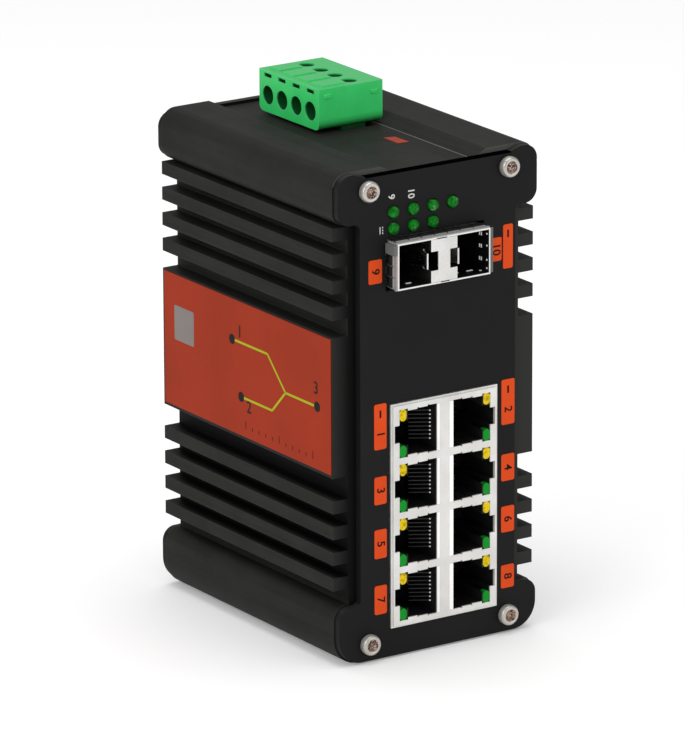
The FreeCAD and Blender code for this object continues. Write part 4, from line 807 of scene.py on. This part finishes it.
def cage_tabs_and_glints(shape):
    sheet, tab = 0.45, 0.12
    wall, ground = CAGE_HIGH.x - sheet, CAGE_LOW.z + sheet
    for z in (104.5, 101.4, 98.2):
        for y in (3.0, 3.75):
            in_cage(shape, (wall - tab, y, z - 0.45), (wall, y + 0.3, z + 0.45))
    for z in (105.0, 102.0, 98.4, 96.3):
        in_cage(shape, (wall - tab, 0.6, z - 0.2), (wall, 0.95, z + 0.2))
    # patches on the floor: painted highlights that stand only for glints
    for x, y, width in ((8.3, 3.6, 1.7), (-10.1, 2.9, 1.5), (5.4, 3.8, 0.5), (11.2, 2.2, 0.5)):
        in_cage(shape, (x, y, ground), (x + width, y + 0.5, ground + tab))
    for x, y in ((-12.6, 5.6), (-11.6, 4.2), (-11.9, 6.8)):
        in_cage(shape, (x, y, ground), (x + 0.35, y + 0.5, ground + 0.3))


solid_piece("cage_trim", cage_trim, [trim_grey])
solid_piece("cage_slots", cage_slots, [chip_black])
solid_piece("cage_tabs_and_glints", cage_tabs_and_glints, [painted_glint_white])


# Two shallow bosses on each end of the terminal plug.
def plug_bosses(shape):
    left, top = PLUG_LOW.x, PLUG_HIGH.z - 0.45
    outline = rounded_outline(2.1, 1.2, 0.4)
    rings = [[(a * scale, b * scale, out) for a, b in outline]
             for scale, out in ((1.0, -0.05), (1.0, 0.15), (0.8, 0.32))]
    for y, side_frame in ((PLUG_LOW.y, TO_FRONT), (PLUG_HIGH.y, TO_REAR)):
        for x, z in ((left + 2.6, top - 2.0), (left + 16.4, top - 2.6)):
            skin(shape, rings, moved(x, y, z) @ side_frame)


solid_piece("plug_bosses", plug_bosses, [terminal_green])


PROUD = 0.03  # how far the plate's edge and shoulders stand out of its face


# A near-black block on the plate's upper edge, between its two shoulders: a painted shadow line.
def plate_edge_shadow(shape):
    block(shape, (-21.2, PLATE - PROUD, PLATE_HIGH.z - 0.28),
          (21.6, PLATE + 1.95, PLATE_HIGH.z + 0.05))


solid_piece("plate_edge_shadow", plate_edge_shadow, [painted_shadow_black])

# The plate's two upper shoulders, up to the crowns of the lobes.
CROWN, ROUNDING, REACH = HOUSE_HIGH.z - 0.35, 3.7, PLATE_HIGH.x
BACK = 1.98  # from the plate's face to just short of its back
shoulder = arc(REACH - ROUNDING, CROWN - ROUNDING, ROUNDING, range(0, 91, 10))
shoulder += [(24.6, CROWN), (21.2, PLATE_HIGH.z - 0.1), (21.2, PLATE_HIGH.z - 3),
             (REACH, PLATE_HIGH.z - 3)]
for side, name in ((-1, "left"), (1, "right")):
    outline = [(side * x, z) for x, z in shoulder]
    piece("plate_shoulder_" + name,
          prism([outline], on_plate(0, 0, lift=-BACK), BACK + PROUD), plate_black)

# Numbered tags beside the sockets and cages: text, middle x and z, width and height.
TAGS = [
    ("9", -18.5, 99.5, 3.9, 6.0), ("10", 17.15, 99.5, 3.2, 6.0), ("", 20.65, 99.8, 2.9, 11.2),
    ("1", -17.1, 60.1, 3.6, 11.6), ("3", -17.1, 43.8, 3.6, 7.1),
    ("5", -17.1, 30.1, 3.6, 7.4), ("7", -17.1, 15.7, 3.6, 7.4),
    ("2", 20.8, 60.0, 3.9, 11.6), ("4", 20.8, 43.1, 3.9, 6.9),
    ("6", 20.8, 29.7, 3.9, 6.7), ("8", 20.8, 14.8, 3.9, 6.0),
]
TALL, BAR_UP, NUMBER_DOWN = 9, 3.2, 1.9  # a taller tag has a bar above its number
DIGIT, SMALL_DIGIT, LABEL_DIGIT = 2.3, 1.9, 3.2
TAG = 0.12
ON_TAG = TAG + 0.005
for index, (text, x, z, width, height) in enumerate(TAGS):
    piece("tag_%02d" % index, prism([rounded_outline(width, height, 0.5)], on_plate(x, z), TAG),
          tag_orange)
    if text:
        number_z = z - NUMBER_DOWN if height > TALL else z
        numeral("tag_number_" + text, text, on_plate(x, number_z, -90, ON_TAG), DIGIT, ink_black)
    if height > TALL:
        bar = rounded_outline(0.5, 1.9, 0.1, 2)
        piece("tag_bar_%02d" % index, prism([bar], on_plate(x, z + BAR_UP, 0, ON_TAG), PRINT),
              ink_black)

# Numbers over two indicators, and the direct-current mark beside the supply's.
for column, text in ((0, "9"), (1, "10")):
    numeral("lamp_number_" + text, text,
            on_plate(LED_X + LED_PITCH_X * column - 0.6, LED_Z + 3.9, -90), SMALL_DIGIT,
            ink_white)
dashes = [rectangle(-0.9, 0.25, 0.9, 0.5)]
dashes += [rectangle(x - 0.2, -0.5, x + 0.2, -0.25) for x in (-0.7, 0.0, 0.7)]
piece("supply_mark", prism(dashes, on_plate(LED_X - 3.5, LED_Z - LED_PITCH_Z, 90), PRINT),
      ink_white)


# A pale strip in the corner at the foot of the right slope of the recessed top: a painted
# highlight.
def slope_highlight(shape):
    block(shape, (11.35, PLATE + 2.1, TOP_LEVEL - 0.02),
          (11.62, HOUSE_HIGH.y - 0.1, TOP_LEVEL + 0.07))


solid_piece("slope_highlight", slope_highlight, [painted_edge_highlight])

# Small label on the recessed top, stuck on a little askew.
corners = [(4.74, -18.09), (7.77, -18.43), (7.62, -12.53), (4.75, -11.72)]
piece("top_label", prism([corners], moved(0, 0, TOP_LEVEL), 0.1),
      film("label_red", tone(160, 56, 34)))

# Generic print on the side label: lines, dots, numbers, ticks and a plain panel.
LINES = [((-6, 10), (-20, 10)), ((-20, 10), (-28, 18)), ((-28, 18), (-44, 18)),
         ((-20, 10), (-26, 4)), ((-26, 4), (-40, 4))]
lines = [stroke(start, end, 0.6) for start, end in LINES]
piece("label_lines", prism(lines, on_label(0, 6), THIN_PRINT), ink_lime)
dots = [arc(y, z, 1.3, range(0, 360, 20)) for y, z in ((-6, 16), (-44, 24), (-40, 10))]
piece("label_dots", prism(dots, on_label(), PRINT), ink_black)
for text, y, z in (("1", -40.5, 26.5), ("2", -36.5, 8.0), ("3", -6.5, 20.5)):
    numeral("label_number_" + text, text, on_label() @ moved(y, z, 0), LABEL_DIGIT, ink_black,
            THIN_PRINT)
ticks = []
for step in range(11):
    y, top = -8 - 3 * step, 4.2 if step % 5 == 0 else 3.2
    ticks.append(stroke((y, 2.2), (y, top), 0.25))
piece("label_ticks", prism(ticks, on_label(), THIN_PRINT), ink_black)
panel = rounded_outline(9, 9, 0.5)
piece("label_panel", prism([panel], on_label(66, 22), THIN_PRINT), ink_grey)

# Floor and light.
floor_mesh = bpy.data.meshes.new("floor")
shape = bmesh.new()
bmesh.ops.create_grid(shape, x_segments=1, y_segments=1, size=6.0)
shape.to_mesh(floor_mesh)
shape.free()
floor = bpy.data.objects.new("floor", floor_mesh)
scene.collection.objects.link(floor)
pale = Finish("floor_pale")
pale.set(base_color=pale.blend(pale.noise(3.0, 2.0, 0.5), (0.86, 0.86, 0.86, 1.0),
                               (0.9, 0.9, 0.9, 1.0)),
         roughness=0.9, specular_ior_level=0.1)
lit(pale.material, 0.2)
floor_mesh.materials.append(pale.material)
floor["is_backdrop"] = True

world = bpy.data.worlds.new("studio")
scene.world = world
world.use_nodes = True
background = world.node_tree.nodes["Background"]
background.inputs["Color"].default_value = WHITE
background.inputs["Strength"].default_value = 0.6

MIDDLE = Vector((0.0, 0.0, 0.06))


def softbox(name, place, width, power):
    """A square area light that faces the middle of the switch."""
    light = bpy.data.lights.new(name, "AREA")
    light.shape = "SQUARE"
    light.size = width
    light.energy = power
    lamp = bpy.data.objects.new(name, light)
    scene.collection.objects.link(lamp)
    lamp.location = place
    lamp.rotation_mode = "QUATERNION"
    lamp.rotation_quaternion = (MIDDLE - Vector(place)).to_track_quat("-Z", "Y")


softbox("softbox_left", (-0.9, -0.25, 0.55), 0.7, 2.6)
softbox("softbox_top", (0.0, 0.1, 1.1), 0.9, 5.0)
softbox("softbox_front", (0.45, -1.1, 0.35), 0.6, 1.6)

# The camera, fitted to the photo. It stands off from a point on the front plate by a distance to
# its own right, above and ahead, and its focal length is in pixels of the photo.
AIM = Vector((0, PLATE, 62.3))
OFF_RIGHT, OFF_ABOVE, OFF_AHEAD = -23.51, 8.93, -1766.3
FOCAL, PHOTO_HEIGHT, SENSOR = 7220, 740, 36
turn, tilt, roll = math.radians(33.66), math.radians(16.71), math.radians(-0.219)
across = Vector((math.cos(turn), -math.sin(turn), 0))
ahead = Vector((math.sin(turn) * math.cos(tilt), math.cos(turn) * math.cos(tilt),
                -math.sin(tilt)))
upward = Vector((math.sin(turn) * math.sin(tilt), math.cos(turn) * math.sin(tilt),
                 math.cos(tilt)))
right = math.cos(roll) * across + math.sin(roll) * upward
above = -math.sin(roll) * across + math.cos(roll) * upward
spot = AIM + OFF_RIGHT * right + OFF_ABOVE * above + OFF_AHEAD * ahead
camera_data = bpy.data.cameras.new("camera")
camera_data.lens = FOCAL * SENSOR / PHOTO_HEIGHT
camera_data.sensor_width = SENSOR
camera_data.clip_end = 50
camera = bpy.data.objects.new("camera", camera_data)
scene.collection.objects.link(camera)
camera.matrix_world = Matrix.Translation(spot * MM) @ aimed(right, above, -ahead)
scene.camera = camera

low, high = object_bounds()
